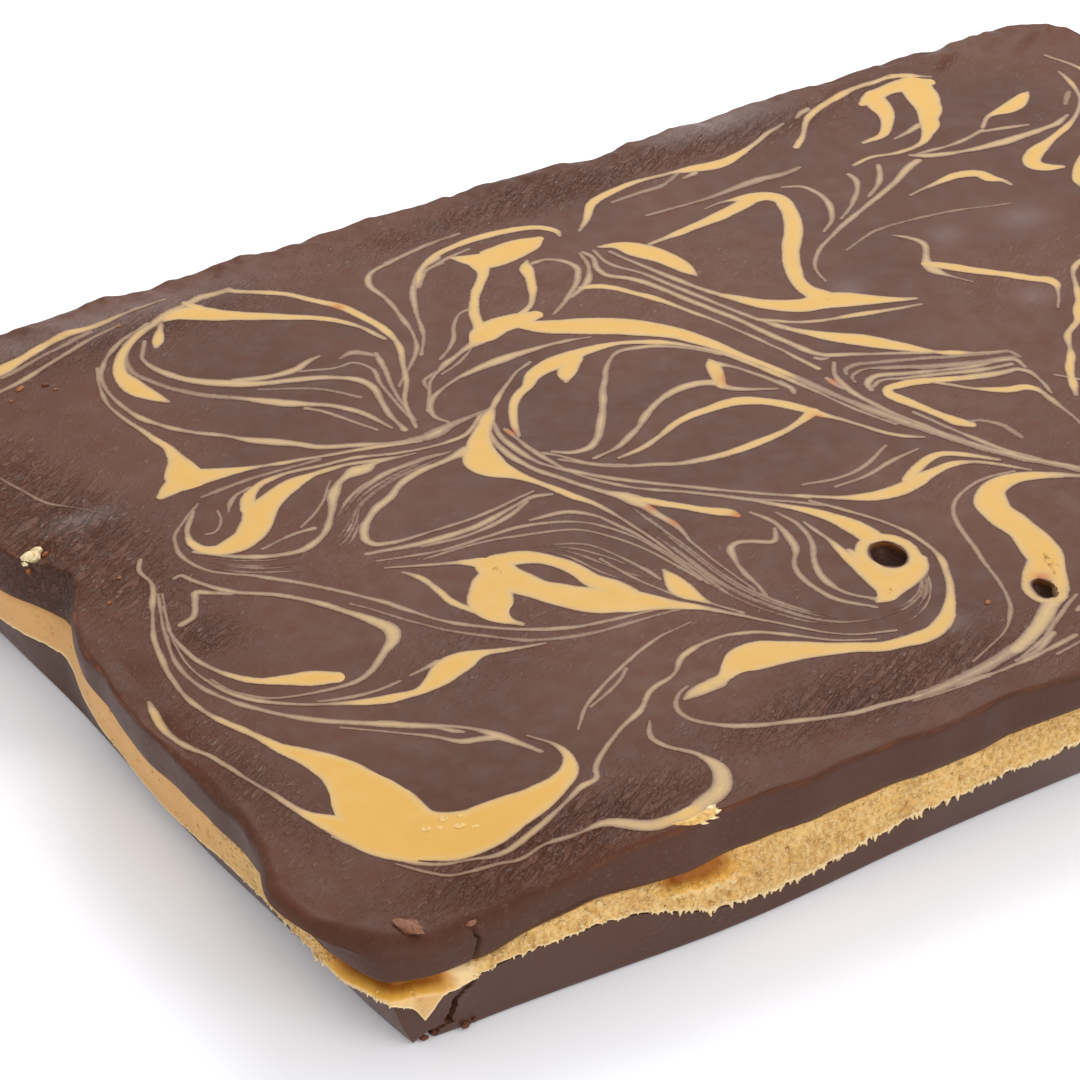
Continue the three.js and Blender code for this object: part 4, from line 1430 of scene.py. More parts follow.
# Each row is a streak's tone, then its places and full widths
STREAKS: tuple[Streak, ...] = tuple(Streak(tone, tuple(points)) for tone, *points in (
    # The near left corner: the big pool, its stalks and the lines that hug it
    (GOLD, (-138, 17.5, .5), (-139.8, 14.8, .9), (-140.3, 8.5, .8), (-144.5, 1, .9), (-149.5, -9, .9),
     (-153, -22, 1.1), (-153.8, -30, 1.1), (-153, -36, 1.2), (-149, -47, 2), (-147.5, -52, 3),
     (-145.3, -56, 4.8), (-142, -66, 9), (-141.8, -71, 12.5), (-142, -76, 14.5), (-141.8, -81, 15.6),
     (-141, -84, 14.5)),
    (GOLD, (-141, -85.5, 15), (-136, -89.5, 13.5), (-130, -91.3, 11.5), (-123, -90.8, 9.5),
     (-116, -90.2, 6.8), (-106.3, -85.5, 3.4), (-104.8, -82, 1.9), (-104.9, -79, 1), (-107.7, -73.4, .4)),
    (GOLD, (-160.3, -26, .5), (-161.3, -30, 1.5), (-161.5, -41, 1.5), (-159, -49, 1), (-156.3, -61, .9),
     (-153.6, -72.5, 2.6), (-149, -80, 7), (-146.5, -84, 9), (-143, -88, 9)),
    (GOLD, (-153, -79.5, .5), (-148, -88, .6), (-141, -95, .6), (-134.5, -97.3, .8), (-131, -98.8, 1.2),
     (-122, -97.5, 1.1), (-112, -93.8, 1), (-107.5, -91.8, 1.2), (-104.3, -91.3, 1), (-102.8, -88.8, 1.1),
     (-98, -84.8, 1.4), (-91.5, -80.8, 1.2), (-86, -78.3, 1.5), (-80.5, -73.8, 1.2), (-74, -71.9, 1),
     (-68.5, -67.6, 1.3), (-53.5, -68.3, .9), (-48, -73, .8), (-42, -79, .6), (-35, -83.2, .5)),
    (PALE, (-147, -91.5, .4), (-140.5, -98.4, .7), (-131.5, -101, .6), (-128.3, -102.3, .7),
     (-122.5, -101.7, .7), (-115, -102.7, 1), (-111.5, -102.8, 2), (-103.3, -108.9, 3.6),
     (-100, -109.5, 3.4)),
    (PALE, (-86.2, -81.8, .5), (-89, -86.5, 1.1), (-88.5, -89.5, 1), (-85, -95.5, 1.6), (-84.5, -102, 3.6),
     (-86.5, -105.3, 4), (-94, -109, 3.8)),
    (GOLD, (-102, -109.3, 2.8), (-98.5, -109.6, 3.4), (-95.5, -109.4, 3.4)),
    (PALE, (-141, 5, .5), (-146.7, -8, .5), (-149.8, -18, .7), (-149.5, -29, 1), (-145, -38.5, 1.4),
     (-136.5, -48.8, 1.5), (-125, -58, 2.2), (-120, -61.7, 2), (-117, -63.8, .9), (-114.5, -66.5, 1.4),
     (-112, -70.5, 2.4), (-108.3, -78.8, 1)),
    (PALE, (-135, -52.5, .4), (-121.5, -65, 1), (-118.5, -68.5, 1.6), (-115, -69.8, 1.9), (-112, -71, 2.2)),
    (PALE, (-120, -62.5, 1), (-118, -65, 1), (-117, -66, .5)),
    (GOLD, (-140.3, 4.5, .4), (-146, -9, .4), (-148.2, -20, .5), (-146.5, -31.5, .8), (-130, -46.5, 1.6),
     (-121.5, -49.8, 3), (-117, -50.6, 2.6), (-112.5, -49.4, 4.4), (-107, -47, 7), (-100, -46.2, 2.9),
     (-96, -47.7, 1.4), (-88, -50, .5)),
    (PALE, (-134, -43, .4), (-131, -44.3, .7), (-122, -46, .6), (-117.5, -45.6, .4)),
    (PALE, (-115.5, -45.2, .6), (-112, -44.8, .9), (-108.5, -44.3, 1.6)),
    (GOLD, (-142.5, .5, .3), (-146, -10, .6), (-142, -29, 1.7), (-139, -32, 2.4), (-135, -33.8, 4),
     (-131, -35.8, 5), (-127.3, -37.9, 4)),
    (PALE, (-142.5, -6.8, 1.2), (-140, -6, 1.1), (-136, -.5, 1.3), (-134.8, 1.2, 1.5), (-132.5, -.3, 1.3),
     (-129.5, -2.5, 1)),
    (PALE, (-136.2, 8, .8), (-134.5, 8.3, .9), (-133.3, 5.5, .9), (-129, -2, 1.4), (-122, -8, 1.4),
     (-116, -16, 1.7), (-113.5, -21, 1.8), (-111.3, -25.5, 3), (-110, -30, 3.6), (-111.5, -33, 3),
     (-114.5, -35.3, 2.2), (-123, -41, 1.1), (-133, -40.2, .8), (-142, -36.5, .6), (-146.3, -30, .4),
     (-147, -26, .4)),
    (PALE, (-118.5, 29.5, .5), (-129.3, 19.5, .7), (-130.6, 15.5, .8), (-129, 7, .9), (-122, 0, 1),
     (-106, -21.5, 1.1), (-100, -33, 1), (-86, -45.7, 1.1), (-82, -47.8, 1.3), (-74, -50.2, .9),
     (-63, -52.3, .6)),
    (DULL, (-112, -18, .5), (-98, -40, .7), (-90, -47.5, .9), (-79, -52, 1.1), (-65, -53.7, .9),
     (-60, -54.5, .6)),
    # The left middle: the funnel, the hooked swirl and the ribs round it
    (GOLD, (-109.8, 87.3, .9), (-112.7, 81, .8), (-114.9, 73, .9), (-114, 59.5, 1.3), (-113.5, 55, 2.2),
     (-113, 51, 2.6), (-113.6, 47, 3.8), (-114.5, 43.5, 6.5), (-115.5, 40, 9)),
    (GOLD, (-123.2, 35.6, 2.4), (-119, 37.6, 5.6), (-114, 38.2, 6.6), (-109.5, 37.2, 4.8), (-105, 36, 2.6),
     (-94, 32.8, 1.2), (-78, 28.8, 1.2), (-69, 25.8, 1)),
    (PALE, (-92, 98, .9), (-100, 95, 1.2), (-110.8, 84, 1), (-112.7, 70.5, 1.2), (-111.7, 64.5, 1.7),
     (-105.5, 53.8, 1.3), (-100.5, 48.8, 1.4), (-98.8, 46.5, 1.6), (-96.5, 44, 2.6), (-94, 41.8, 3),
     (-90, 38.2, 2.2), (-87.5, 35.2, 1.8), (-81.5, 32, 1.6), (-72, 27.5, 1.4), (-67, 26.5, 1.4)),
    (GOLD, (-121, 27, .7), (-125.8, 20.5, 1.5), (-126.8, 17, 2.2), (-126, 14, 3), (-123.5, 12, 4.2),
     (-120, 12, 6), (-116, 13.5, 6.3), (-112.5, 16.5, 6.8), (-109.5, 20, 7), (-106.5, 22, 5.5),
     (-100, 25, 4.6), (-93, 26.3, 1.8), (-86, 25.7, 1.3), (-82, 24.5, 1.6), (-76, 22.7, .8)),
    (GOLD, (-111, 22, 4), (-109.5, 25, 3.4), (-104, 29, 1.8), (-100, 29.5, 1.5), (-90, 28.2, 1.2),
     (-85, 27.6, 1.2), (-75, 24.2, 1), (-65, 22.4, 1), (-60.5, 22.6, 1.1), (-53, 27.5, .8)),
    (DULL, (-117, 31, .7), (-108, 31.7, 1.4), (-90, 30.6, 1.3)),
    (PALE, (-115, 23, .4), (-113, 26, .9), (-110.5, 28, .8), (-107, 28.8, .8)),
    (PALE, (-123, 18.6, .4), (-121.5, 18.2, .5), (-118, 21, .5), (-116.5, 25, .5)),
    (PALE, (-127.8, 14, .8), (-122, 8.3, 1.2), (-114.5, 4, 1.6), (-110.5, 3.1, 1.6), (-103, 6.3, 1.6),
     (-98, 12, 1.8), (-94, 17.8, 2.6), (-88, 22.2, 2.6), (-86, 22.7, 4), (-84, 22.5, 3.8), (-81.5, 23.3, 2),
     (-76, 22.7, .8), (-72, 22.3, .5)),
    (PALE, (-116.5, 7.8, .4), (-107, 9.2, .8), (-104, 8.9, 1.2)),
    (PALE, (-106, 10.5, .4), (-99.5, 14.5, .6), (-92, 22.5, .3)),
    (PALE, (-90, 15.5, .6), (-82, 18.5, 1.4), (-75, 19.2, .8), (-66, 18.8, .5)),
    (PALE, (-63, 17.6, 3.6), (-66, 16.8, 2.6), (-75, 15.7, 2.2), (-80, 14, 2.2), (-85, 10.8, 2), (-92, 7, 2),
     (-96.6, 2, 2.2), (-97.7, -.5, 2.2), (-97, -2.7, 1.9), (-94.5, -3.8, 1.4), (-85, -4.8, .8), (-74, -5, .8),
     (-60, -3, .7)),
    (PALE, (-100, -4.8, 1.2), (-92, -6.8, 1.6), (-88, -7.5, 2), (-78, -8, 1.8), (-65, -5.5, 1),
     (-61.5, -4.8, 1.4), (-57.5, -6.2, .5)),
    (PALE, (-90, -8.5, .6), (-79, -9.8, 1), (-69, -8.2, 1.2), (-63, -5.6, .8)),
    (DULL, (-70, 27, 2), (-67, 26.3, 3), (-64, 26.8, 3.5), (-61, 27.5, 2.5), (-50.5, 28.7, .8)),
    # The front middle: the split pool, the long dash and the drop round the larger bubble
    (GOLD, (-98.8, -77, .4), (-94, -72, .8), (-86, -67.2, .7), (-78, -63.4, .7), (-71, -60.6, .6),
     (-61, -59.3, .25)),
    (PALE, (-93, -72.3, .5), (-84.5, -68.6, .6), (-80, -65.3, .5)),
    (GOLD, (-24, -69.5, 2.4), (-22.8, -70.9, 3.4), (-21.6, -72, 2.4)),
    (PALE, (-76.6, -79.8, 1.6), (-74.5, -79.2, 3), (-69, -78.7, 3.8)),
    (GOLD, (-71.5, -78.8, 3.6), (-66, -77.7, 3.4), (-63.5, -76.3, 5), (-60.5, -75.4, 7.8), (-57, -75.4, 9),
     (-53, -76.8, 8), (-49, -78.6, 6.6), (-45, -80.7, 4.8), (-40, -83.2, 3.6), (-35, -86.2, 3.7),
     (-31, -86.8, 3.8), (-28, -87.4, 4.6), (-25.5, -87.4, 4.4), (-19.5, -84.5, 3.6), (-17, -82.2, 2.8),
     (-10.2, -73, 1.5), (-7.2, -66, 1.3), (-7.6, -54, 1), (-13, -42, 1), (-16.5, -36, .5)),
    (PALE, (-74, -76.5, .4), (-77, -77.8, .6), (-80, -82.5, .9), (-79.5, -86, .9), (-77.5, -88.7, 1),
     (-71.5, -93.5, 1.2), (-63.5, -96.8, 1.2), (-56, -99.9, 1.3), (-47, -101.3, 1.3), (-38, -102.8, 1.5),
     (-33, -103, 1.8)),
    (PALE, (-42, -103.3, .4), (-36, -104.2, .5), (-25, -105, .5)),
    (PALE, (-40, -101.7, .4), (-30, -102, .5), (-25, -101.2, .5)),
    (GOLD, (-100, -11, .5), (-92, -14.8, .8), (-88.5, -16.3, 1.2), (-85.5, -18, 2.6), (-82.5, -20.5, 4.4),
     (-82, -24, 7), (-86, -28, 8.5), (-89, -32, 9), (-90.5, -36, 6.5), (-90, -39.5, 3), (-88.5, -42, 1.6)),
    (GOLD, (-82, -22.5, 7), (-81.2, -28, 7.6), (-79.5, -33, 7.2), (-76, -38.5, 7.6), (-72, -43, 8.8),
     (-68, -46, 8.5), (-64.5, -48.8, 6), (-61.5, -51.5, 4), (-58.5, -54.3, 2.8), (-53, -61, .8),
     (-48.5, -67, .6), (-38, -79.3, .5), (-30, -83, .4)),
    (GOLD, (-80, -21, 5), (-75.5, -22.5, 5), (-72.5, -25, 4), (-70, -29, 4.2), (-69, -33, 4.2),
     (-68.5, -37, 5), (-66.8, -41, 6), (-66, -44.5, 6)),
    (GOLD, (-97.8, -14, .4), (-96.3, -16.5, 1.1), (-95.3, -24, 1.7), (-95.3, -28, 1.8), (-93.5, -33, 2)),
    (GOLD, (-55, -41, .8), (-55.2, -43.5, 2.5), (-56, -50, 4.8), (-55.5, -52.8, 3), (-54.5, -55.5, 1.2),
     (-51, -62, .6)),
    (PALE, (-59.3, -33, .7), (-57.8, -40, .9), (-57.5, -44, .8)),
    (PALE, (-63, -31, .5), (-61.5, -40, .6), (-58, -51, .6)),
    (PALE, (-100, -8, .5), (-88, -11.5, .6), (-77, -12.3, .9), (-69, -13, .8), (-57.5, -19.5, .6),
     (-54, -26, .5), (-51, -41, .5), (-50.5, -50, .5)),
    (PALE, (-92, -12.5, .4), (-80, -13.3, .6), (-69, -16.5, .7), (-60.5, -20.5, .6), (-56.5, -26.5, .6),
     (-52, -41, .5), (-51, -48, .5)),
    (PALE, (-67, -11.8, .8), (-58, -14, 1.2), (-56, -16.2, .9), (-53.2, -24, .7), (-50.3, -42, .5)),
    # The stripes that fall from the shield and spread to the right
    (GOLD, (-56, 22.5, 3.6), (-58, 20, 4.5), (-60, 17, 6), (-62.4, 10.5, 8.4), (-61.8, 8, 7),
     (-60.5, 5.5, 4.5), (-55.8, -5.5, 2), (-54.5, -9.5, 2.4), (-53, -13, 1.8), (-51.3, -22, .7),
     (-50.3, -35, .5), (-49.5, -55, .5)),
    (GOLD, (-58, 20, 4.5), (-54, 24.2, 3.4), (-52, 26.3, 3), (-50, 28.2, 2), (-42.5, 34.5, 1.2),
     (-37.5, 38, .9), (-32.5, 40.2, .5)),
    (PALE, (-50, 28, 2), (-55.3, 20.5, 1.6), (-55.7, 5, 1.9), (-52, -4, 1.8), (-48, -12, 2),
     (-46.3, -14.5, 3.2), (-45.3, -17.5, 4), (-45, -20.5, 2.4), (-44.6, -24, 2.2), (-43.9, -29, 1.2),
     (-44.8, -37, .5), (-44.3, -57, .5)),
    (GOLD, (-46.3, -15, 2), (-43.5, -18.5, 2.6), (-36, -27.5, 2.5), (-33.8, -29.8, 3.2), (-32, -31.5, 2.8),
     (-31.5, -33, 1.2)),
    (PALE, (-51.5, 25.5, .8), (-54, 19, 1.2), (-53.9, 10, 1.6), (-53, 5, 1.3), (-48, -3, 1.4),
     (-42.5, -9.5, 1.6), (-28.5, -23.5, 1.2), (-21.5, -30, 1.2), (-15.5, -34.7, 1.8)),
    (GOLD, (-17, -33.6, 1.6), (-9.5, -39.2, 2.2), (-4.5, -41.8, 3.8), (5.5, -42.3, 4.2), (8.5, -41.5, 3.4),
     (18, -41.3, 2), (20.5, -42.7, 1.7), (28, -51.5, .6)),
    (GOLD, (5, -40.5, 2.6), (7.5, -39, 2.8), (17.5, -36.8, 2.2), (19.5, -38.5, 1.9), (24.8, -44.5, .9)),
    (PALE, (-51.8, 20, .8), (-51.6, 10, 1.2), (-49.5, -2, .8), (-43.5, -12, .9), (-35, -20.3, 1),
     (-29, -26.3, 1.2), (-24, -32, 1.9), (-21.5, -35.3, 2)),
    (GOLD, (-22.5, -34, 1.6), (-17, -42, 3.2), (-14.6, -49, 4.8), (-14.2, -52.5, 5.4)),
    (PALE, (-49, 4, .8), (-42, -3.5, .8), (-38, -6, 1), (-35, -7.5, 1.6), (-29, -10.7, 2),
     (-20, -12.5, 2.5)),
    (GOLD, (-24, -12.1, 2), (-15, -12.6, 2.6), (0, -10.6, 2.2), (4.8, -8.7, 3)),
    (PALE, (-43, .7, .6), (-37, 1.6, 1.2), (-31, 4.5, 1.3), (-20, 11.8, 1.9), (-13.5, 13.9, 2.2),
     (-7.5, 13.1, 2.4), (-5.5, 11.9, 2.6), (-4, 8.5, 2.2), (-2.8, 7.3, 1.4), (2, 4, 1), (4, 3, .5)),
    (GOLD, (-4.8, 10.5, 2.4), (-2, 16.5, 3.6), (-1, 18.8, 3), (-.8, 20, 1.4)),
    (PALE, (-.5, 18, 2.4), (1.2, 16, 1.6), (3.8, 10.5, 1.2), (6, 4, 1.2), (6.8, 1.3, 1.4), (6.2, -.3, 1)),
    (GOLD, (-39, -1.9, .6), (-34, -1.5, 1.5), (-27.5, .5, 1.7), (-20.5, 3.2, 2.2), (-13, 3.9, 2.8),
     (-5.5, 3, 3.4), (0, -1, 3), (3.8, -6.8, 3), (6.5, -12, 1.9), (9.2, -17, 1.5), (11.3, -22, 1.8),
     (14.5, -26.5, 1.7), (18, -29.5, .8)),
    (PALE, (-48.5, 7.5, .6), (-45.5, 5.1, 1.4), (-41.5, 4.8, 2), (-39, 6.3, 1.8), (-34.5, 11, 1.9),
     (-24.5, 24.5, 1.5), (-19.8, 30.3, 1.4), (-14.8, 33.5, 1.4), (-9, 32.3, 1.8), (.5, 24, 1.2),
     (2.5, 21, 1)),
    (PALE, (-50.5, 8, .8), (-49.5, 7, .8), (-44.5, -.8, 1.2), (-39, -4.8, .9)),
    # The loops and the drop between the stripes and the front
    (PALE, (-28.7, -33, .8), (-27, -38.8, 1), (-27.8, -45.5, 1.5), (-28.8, -48.7, 1.5), (-32.7, -53.5, 1.2),
     (-33, -68, .9), (-28.5, -74.3, .5)),
    (PALE, (-43.5, -59, .9), (-41, -45, 1.4), (-39.5, -42, 1.6), (-37.5, -41, 1.5), (-35, -42, 1.3),
     (-31, -44.6, 1.2), (-28.3, -41, .6)),
    (PALE, (-24.5, -36, .4), (-23.5, -42, .8), (-25, -49, 1.2), (-28.8, -55, 1.3), (-31, -62, 1.5),
     (-30.5, -66, 1.2), (-26, -73, 1)),
    (GOLD, (-22, -42, .6), (-21.7, -50, 1), (-22.3, -58, 3), (-21.9, -66, 6), (-22, -69.5, 6.6),
     (-23.5, -72, 4)),
    (GOLD, (-11.2, -65.6, 3), (-13, -67.2, 4.4), (-19.5, -69.4, 7), (-22.5, -70.8, 6), (-24.5, -72.3, 4.2),
     (-26.5, -72.8, 2)),
    (GOLD, (-20.8, -55.5, 2), (-20.6, -59.5, 3.2), (-20.4, -63, 4)),
    (PALE, (-26, -29, .6), (-18, -36, .8), (-15, -39, .8)),
    (PALE, (-14, -30.5, .4), (-6, -32.4, .9), (-2, -32.2, 1), (9.5, -27.5, .4)),
    (PALE, (-9, -34.8, .4), (-1, -34.9, .9), (6, -33.2, 1), (14, -32.3, .4)),
    # The S that holds the smaller bubble, and the lines below it
    (PALE, (36, -59.5, 1), (33, -57.2, 1.8), (30, -55, 2.6)),
    (GOLD, (31, -55.7, 2), (27, -53.2, 3.6), (24, -52, 4.2), (17, -52.8, 6), (14.3, -55.3, 7),
     (11.8, -71, 7.4), (9.8, -78, 7.8), (8.4, -81.5, 6)),
    (GOLD, (9.4, -79.5, 6), (7.8, -83, 5), (6.8, -86, 3.6), (5.2, -89, 3), (2.6, -91.2, 3)),
    (GOLD, (6, -78, 2), (.6, -84, 1.7), (-.8, -87.5, 1.4), (-1, -91, 1.2)),
    (GOLD, (9, -79, 6), (6.4, -80.2, 5.4), (3.6, -81.6, 3.6)),
    (PALE, (5, -89.4, 3), (-1, -92.6, 3.8), (-3.5, -94.5, 4), (-7, -96.8, 3.6), (-15, -100.3, 3.2)),
    (DULL, (-13, -99.6, 3.4), (-20, -101.4, 3.2), (-30, -102.7, 3), (-38, -102.8, 2.4)),
    (PALE, (6, -92, 1), (-3, -97, 1.2), (-9, -100.5, 1), (-16, -103, .6)),
    (PALE, (-6, -100, 1.8), (-12, -102.8, 1), (-18, -103.6, .6)),
    (PALE, (-3, -102.8, 1), (-6.5, -103.3, 1.6), (-14, -104.2, 1.2), (-26, -104.4, .9), (-35, -103.5, .6)),
    (PALE, (-2, -104.8, .6), (-10, -105.8, .5)),
    (PALE, (25, -49.8, .4), (18, -48.6, .8), (8, -52, 1), (-.3, -70, 1), (-4, -82, .8), (-7, -88.5, .8),
     (-12, -93.5, .5), (-25, -99.5, .4)),
    # The bundle right of the middle, and its hook
    (DULL, (10, 5, 2.2), (14.2, -11, 2.4), (17, -19, 3.2), (20, -27, 2.8), (27.5, -44, 2), (33.5, -53, 1.8),
     (44.5, -69, 1.8), (46.5, -75.5, 2.2)),
    (PALE, (20.5, 5, 1), (17.8, 1, 1.2), (16.5, -5.5, 1.8), (17.2, -13, 1.6), (20.2, -25, 1.6),
     (24.5, -37, 1.6), (35, -54, 1.4), (41, -61, 1.2), (49.5, -75.5, 1.2), (50.5, -83, 1.2), (45.5, -97, 1),
     (40, -101.5, .8)),
    (PALE, (8.5, 5, 1), (13.2, -14, .9), (16, -22, .8)),
    (PALE, (22, -20.5, 1), (25.8, -34.5, 1.2), (28, -41.5, 1.2), (32, -49, .9)),
    (PALE, (15.3, .5, 1), (15.4, -2, 1.2), (15.8, -4.5, 1)),
    (PALE, (6.5, 5, .8), (6.9, 2.5, 1), (6.9, .7, 1.4)),
    (GOLD, (28.6, -30.6, 2.4), (27, -28, 3.6), (26, -24.5, 2.6), (24, -17.5, 2.8), (22.9, -14, 3.2),
     (22.4, -11.6, 2.8), (23.2, -9.8, 2.4), (27.5, -10, 3), (37, -13.7, 2.4), (41, -15.5, 2.4)),
    (PALE, (38, -14.2, 2.2), (45, -16.8, 2.6), (48, -17.5, 2.2), (51, -18, 1.8), (52.4, -20, 1.6),
     (52.3, -23, 1.2), (50.5, -30, .6)),
    (PALE, (20.3, -8, 1.4), (21.2, -5.5, 1.9), (23, -4.3, 1.9), (31, -7, 1.3), (45, -12.3, 1.6),
     (50, -13.2, 1.4), (53.2, -14.5, 1.2), (53, -18, .8)),
    (PALE, (21.5, -7.3, .8), (23.5, -6.2, 1.2), (29, -8, 1.2), (37, -11, 1.6), (45, -14.2, 1.7),
     (51, -15.6, 1)),
    (GOLD, (33, -12.8, 1.5), (39, -20, 1.6), (45, -24, 2.8), (47.5, -24.6, 2.8), (49, -26.5, 2.2),
     (49.3, -29, 1.4)),
    (PALE, (49.3, -28, 1.6), (48, -42, .7), (46, -50, .5)),
    (DULL, (19.8, 0, .8), (20.8, 1.5, 1), (23, 2, 1.2), (30, -.5, 1.4), (50, -9.6, 1.4), (54.3, -11.4, 1.2),
     (54.6, -14, .9)),
    (DULL, (19.3, -4, .7), (20.2, -1.5, .8), (22.5, -.5, .9), (30, -3.5, 1.4), (37, -7.5, 2.2),
     (49, -12.4, 2), (53, -13.6, 1.2)),
    (DULL, (28.5, -29.5, 2), (31, -30, 1.2), (34, -34.5, 1.4), (34.3, -40, .8)),
    # The long gold band, the strokes round it and the upper bundle that falls to the left
    (GOLD, (-25, 53.8, 4), (-22.5, 51.5, 5.5), (-16, 47.5, 6.8), (-9, 42.8, 7), (-2.5, 36.3, 6), (0, 33, 5),
     (3, 26.5, 4), (5.5, 19, 2.6), (10, 5, 2)),
    (GOLD, (-38, 53.6, 2.4), (-35, 55, 6), (-30, 56.8, 7), (-25, 56.6, 6.5), (-21, 56.4, 4)),
    (GOLD, (-51, 16.5, 1.2), (-48.5, 22, 1.9), (-41, 31, 2.6), (-39, 32, 2.8), (-34, 35.7, 4.2),
     (-28.5, 37, 5.2), (-21.5, 37.7, 3.8), (-12, 36.3, 2), (-6.5, 33, 2), (3.3, 20.5, 1.6), (7, 10, 1.5),
     (10.3, -3, 1.4)),
    (GOLD, (-30.8, 29.4, 1.2), (-29.5, 31.5, 3.6), (-24, 36, 3.5)),
    (PALE, (-60, 29, 1), (-61, 31.5, 1.3), (-58, 38.5, 1.2), (-53, 41.3, 1.1), (-36, 44.4, 2.9),
     (-29, 44.2, 2), (-20, 43.2, 1), (-16, 42, .7)),
    (PALE, (-61, 35, .9), (-58, 39.5, 1), (-55.5, 43.5, 1), (-46, 50, 1.6), (-40, 52.6, 2), (-37, 53.3, 3)),
    (PALE, (-56.5, 42, .6), (-55.5, 45.5, .7), (-51.5, 47.5, .6)),
    (PALE, (-51, 46, .4), (-45, 48.3, .7), (-40, 51.5, .5)),
    (PALE, (-96, 92, .8), (-99.8, 86, 1), (-98, 76.5, 2.1), (-86.5, 65, 3), (-83, 63, 2.4), (-75, 59.8, 2),
     (-70.5, 57.3, 1.7), (-66.2, 53, 2.1), (-65.6, 51, 2.2), (-67, 44, 1.9), (-68.7, 37, 1.6),
     (-69, 31.5, 1.4)),
    (PALE, (-88, 67.5, 2), (-81, 65, 2), (-75.3, 64.5, 2), (-70.5, 66.3, 1), (-68, 66.7, .5)),
    (DULL, (-96.5, 95.8, .8), (-101.8, 90, 1.2), (-104.2, 83, 1.3), (-102.3, 75.5, 1.5), (-97, 66.8, 1.9),
     (-91, 61, 2.2)),
    (PALE, (-92, 62, 1.6), (-83, 53, 3), (-80.5, 51, 2.4), (-76, 47, 1.9), (-73, 42, 2), (-71, 33.5, 1)),
    (PALE, (-73.5, 34, .6), (-76.2, 40, .9), (-79.5, 47, 1.2), (-81.5, 49.5, 1.2)),
    (GOLD, (-70, 100.8, 1.6), (-60, 92.7, 1.8), (-56.5, 87, 2), (-53.5, 82.5, 2.4), (-51.9, 76, 2.3),
     (-50.9, 68, 2.2), (-52, 61, 1.6), (-55.2, 54.5, 1.3), (-58.3, 48, 1.2), (-63.5, 40, 1),
     (-66.5, 31, .8)),
    (PALE, (-57.8, 61, 1.6), (-59.5, 55, 1), (-62.6, 46, .7), (-65.2, 33, .5)),
    (DULL, (-65, 63.5, 1.2), (-62, 64, 1.8), (-58.2, 60.5, 1.8)),
    (PALE, (-75, 63.5, .5), (-67, 60.3, .6), (-64, 60.4, .6), (-61.8, 56.5, .9), (-63.3, 50.5, .8),
     (-66, 31.5, .5)),
    (PALE, (-24, 95.5, 1.2), (-33, 93.7, 1.2), (-41.5, 90.5, 1.6), (-43.2, 88, 1.7), (-43.5, 80, 1.2),
     (-45, 71.5, 1.1), (-48.3, 60, 1), (-61, 46.5, .5)),
    (DULL, (-70, 47.5, .8), (-74, 53.5, .8), (-86, 62, .7)),
    (PALE, (-30.5, 66.3, 1), (-33, 66.3, .8), (-37, 63, .9), (-41, 57, 1), (-47.5, 51.5, .6)),
    # The far left: a crease over the pleat, the eye, the crescent beside it and the band along the far rim
    (DULL, (-147, 60, .4), (-145.2, 53.3, .5), (-143.6, 46.8, .6), (-139.6, 41.5, .3), (-135.8, 36.3, .1)),
    (PALE, (-100, 93, 2), (-94, 96, 2), (-88, 98.7, 2.4), (-81, 100.8, 2), (-77, 101.5, 2.2),
     (-70.3, 101.3, 1.7)),
    (GOLD, (-88, 97.6, 2), (-85, 98.2, 4.4), (-81.8, 97.2, 6.2), (-76.5, 92.8, 5), (-73.5, 90.5, 4),
     (-67.5, 86.3, 3), (-57, 77, 1.6), (-54.2, 71, 1.3), (-53, 65.5, .8)),
    (GOLD, (-81, 101, 1.6), (-79.6, 98.5, 3)),
    (GOLD, (-89.6, 96.5, .6), (-92.7, 91.8, 2.8), (-94.2, 89.8, 2.4), (-95, 88.8, 1.2)),
    (GOLD, (-104, 67.8, .8), (-105, 70, 3), (-106.8, 75.5, 5.2), (-106.8, 82, 3.8), (-95, 95.7, 1.7),
     (-92, 97.2, 1.4)),
    (GOLD, (-151, 88.5, .8), (-146, 92, 1.4), (-140, 94.5, 2.4), (-128, 97.5, 4), (-121.5, 99.3, 2.6),
     (-114, 101.8, 2.2), (-99, 103.2, 1.4), (-84, 104.5, .4)),
    (PALE, (-145, 84, .4), (-135, 89, .8), (-125, 91.8, 1.6), (-118, 94.5, 1.1), (-106, 98.8, .9),
     (-97, 101, .5)),
    (DULL, (-128, 95, 1.2), (-116, 98.5, 1.4), (-104, 101.5, 1)),
    # The far middle: the wide eye, its legs and the arc over it
    (PALE, (-25, 89.5, 2.5), (-31, 86.5, 1.6), (-36.5, 80.3, 1.4), (-40.5, 73, 1), (-46, 61, .9),
     (-50, 55.5, .7)),
    (PALE, (-25, 87, 1), (-29, 86.3, 1), (-35, 80.5, .8)),
    (GOLD, (-22, 87.4, 1.6), (-19, 84.6, 5), (-17, 83, 7), (-13, 83, 8.6), (-9, 83.4, 8), (-3, 84.2, 4.6),
     (-1.3, 84.5, 2.6)),
    (GOLD, (-18.6, 82, 4.6), (-19.4, 79.4, 3.6), (-27, 70.5, 2.5), (-31, 64.5, 2.8), (-33.5, 58.5, 3),
     (-34.5, 56, 4)),
    (GOLD, (-35, 81, 1.6), (-31, 86.3, 1.8), (-28, 88.6, 1.8), (-10, 92.2, 2.6), (-3, 91, 2.4), (2, 88.5, 2),
     (3.8, 84.8, 1.3), (3.2, 83.3, .6)),
    (PALE, (-30, 86, 1), (-22, 88.3, 1), (-17, 89, .8)),
    (DULL, (-35, 93.7, 1.4), (-25, 95.4, 1.1), (-15, 96.2, .6)),
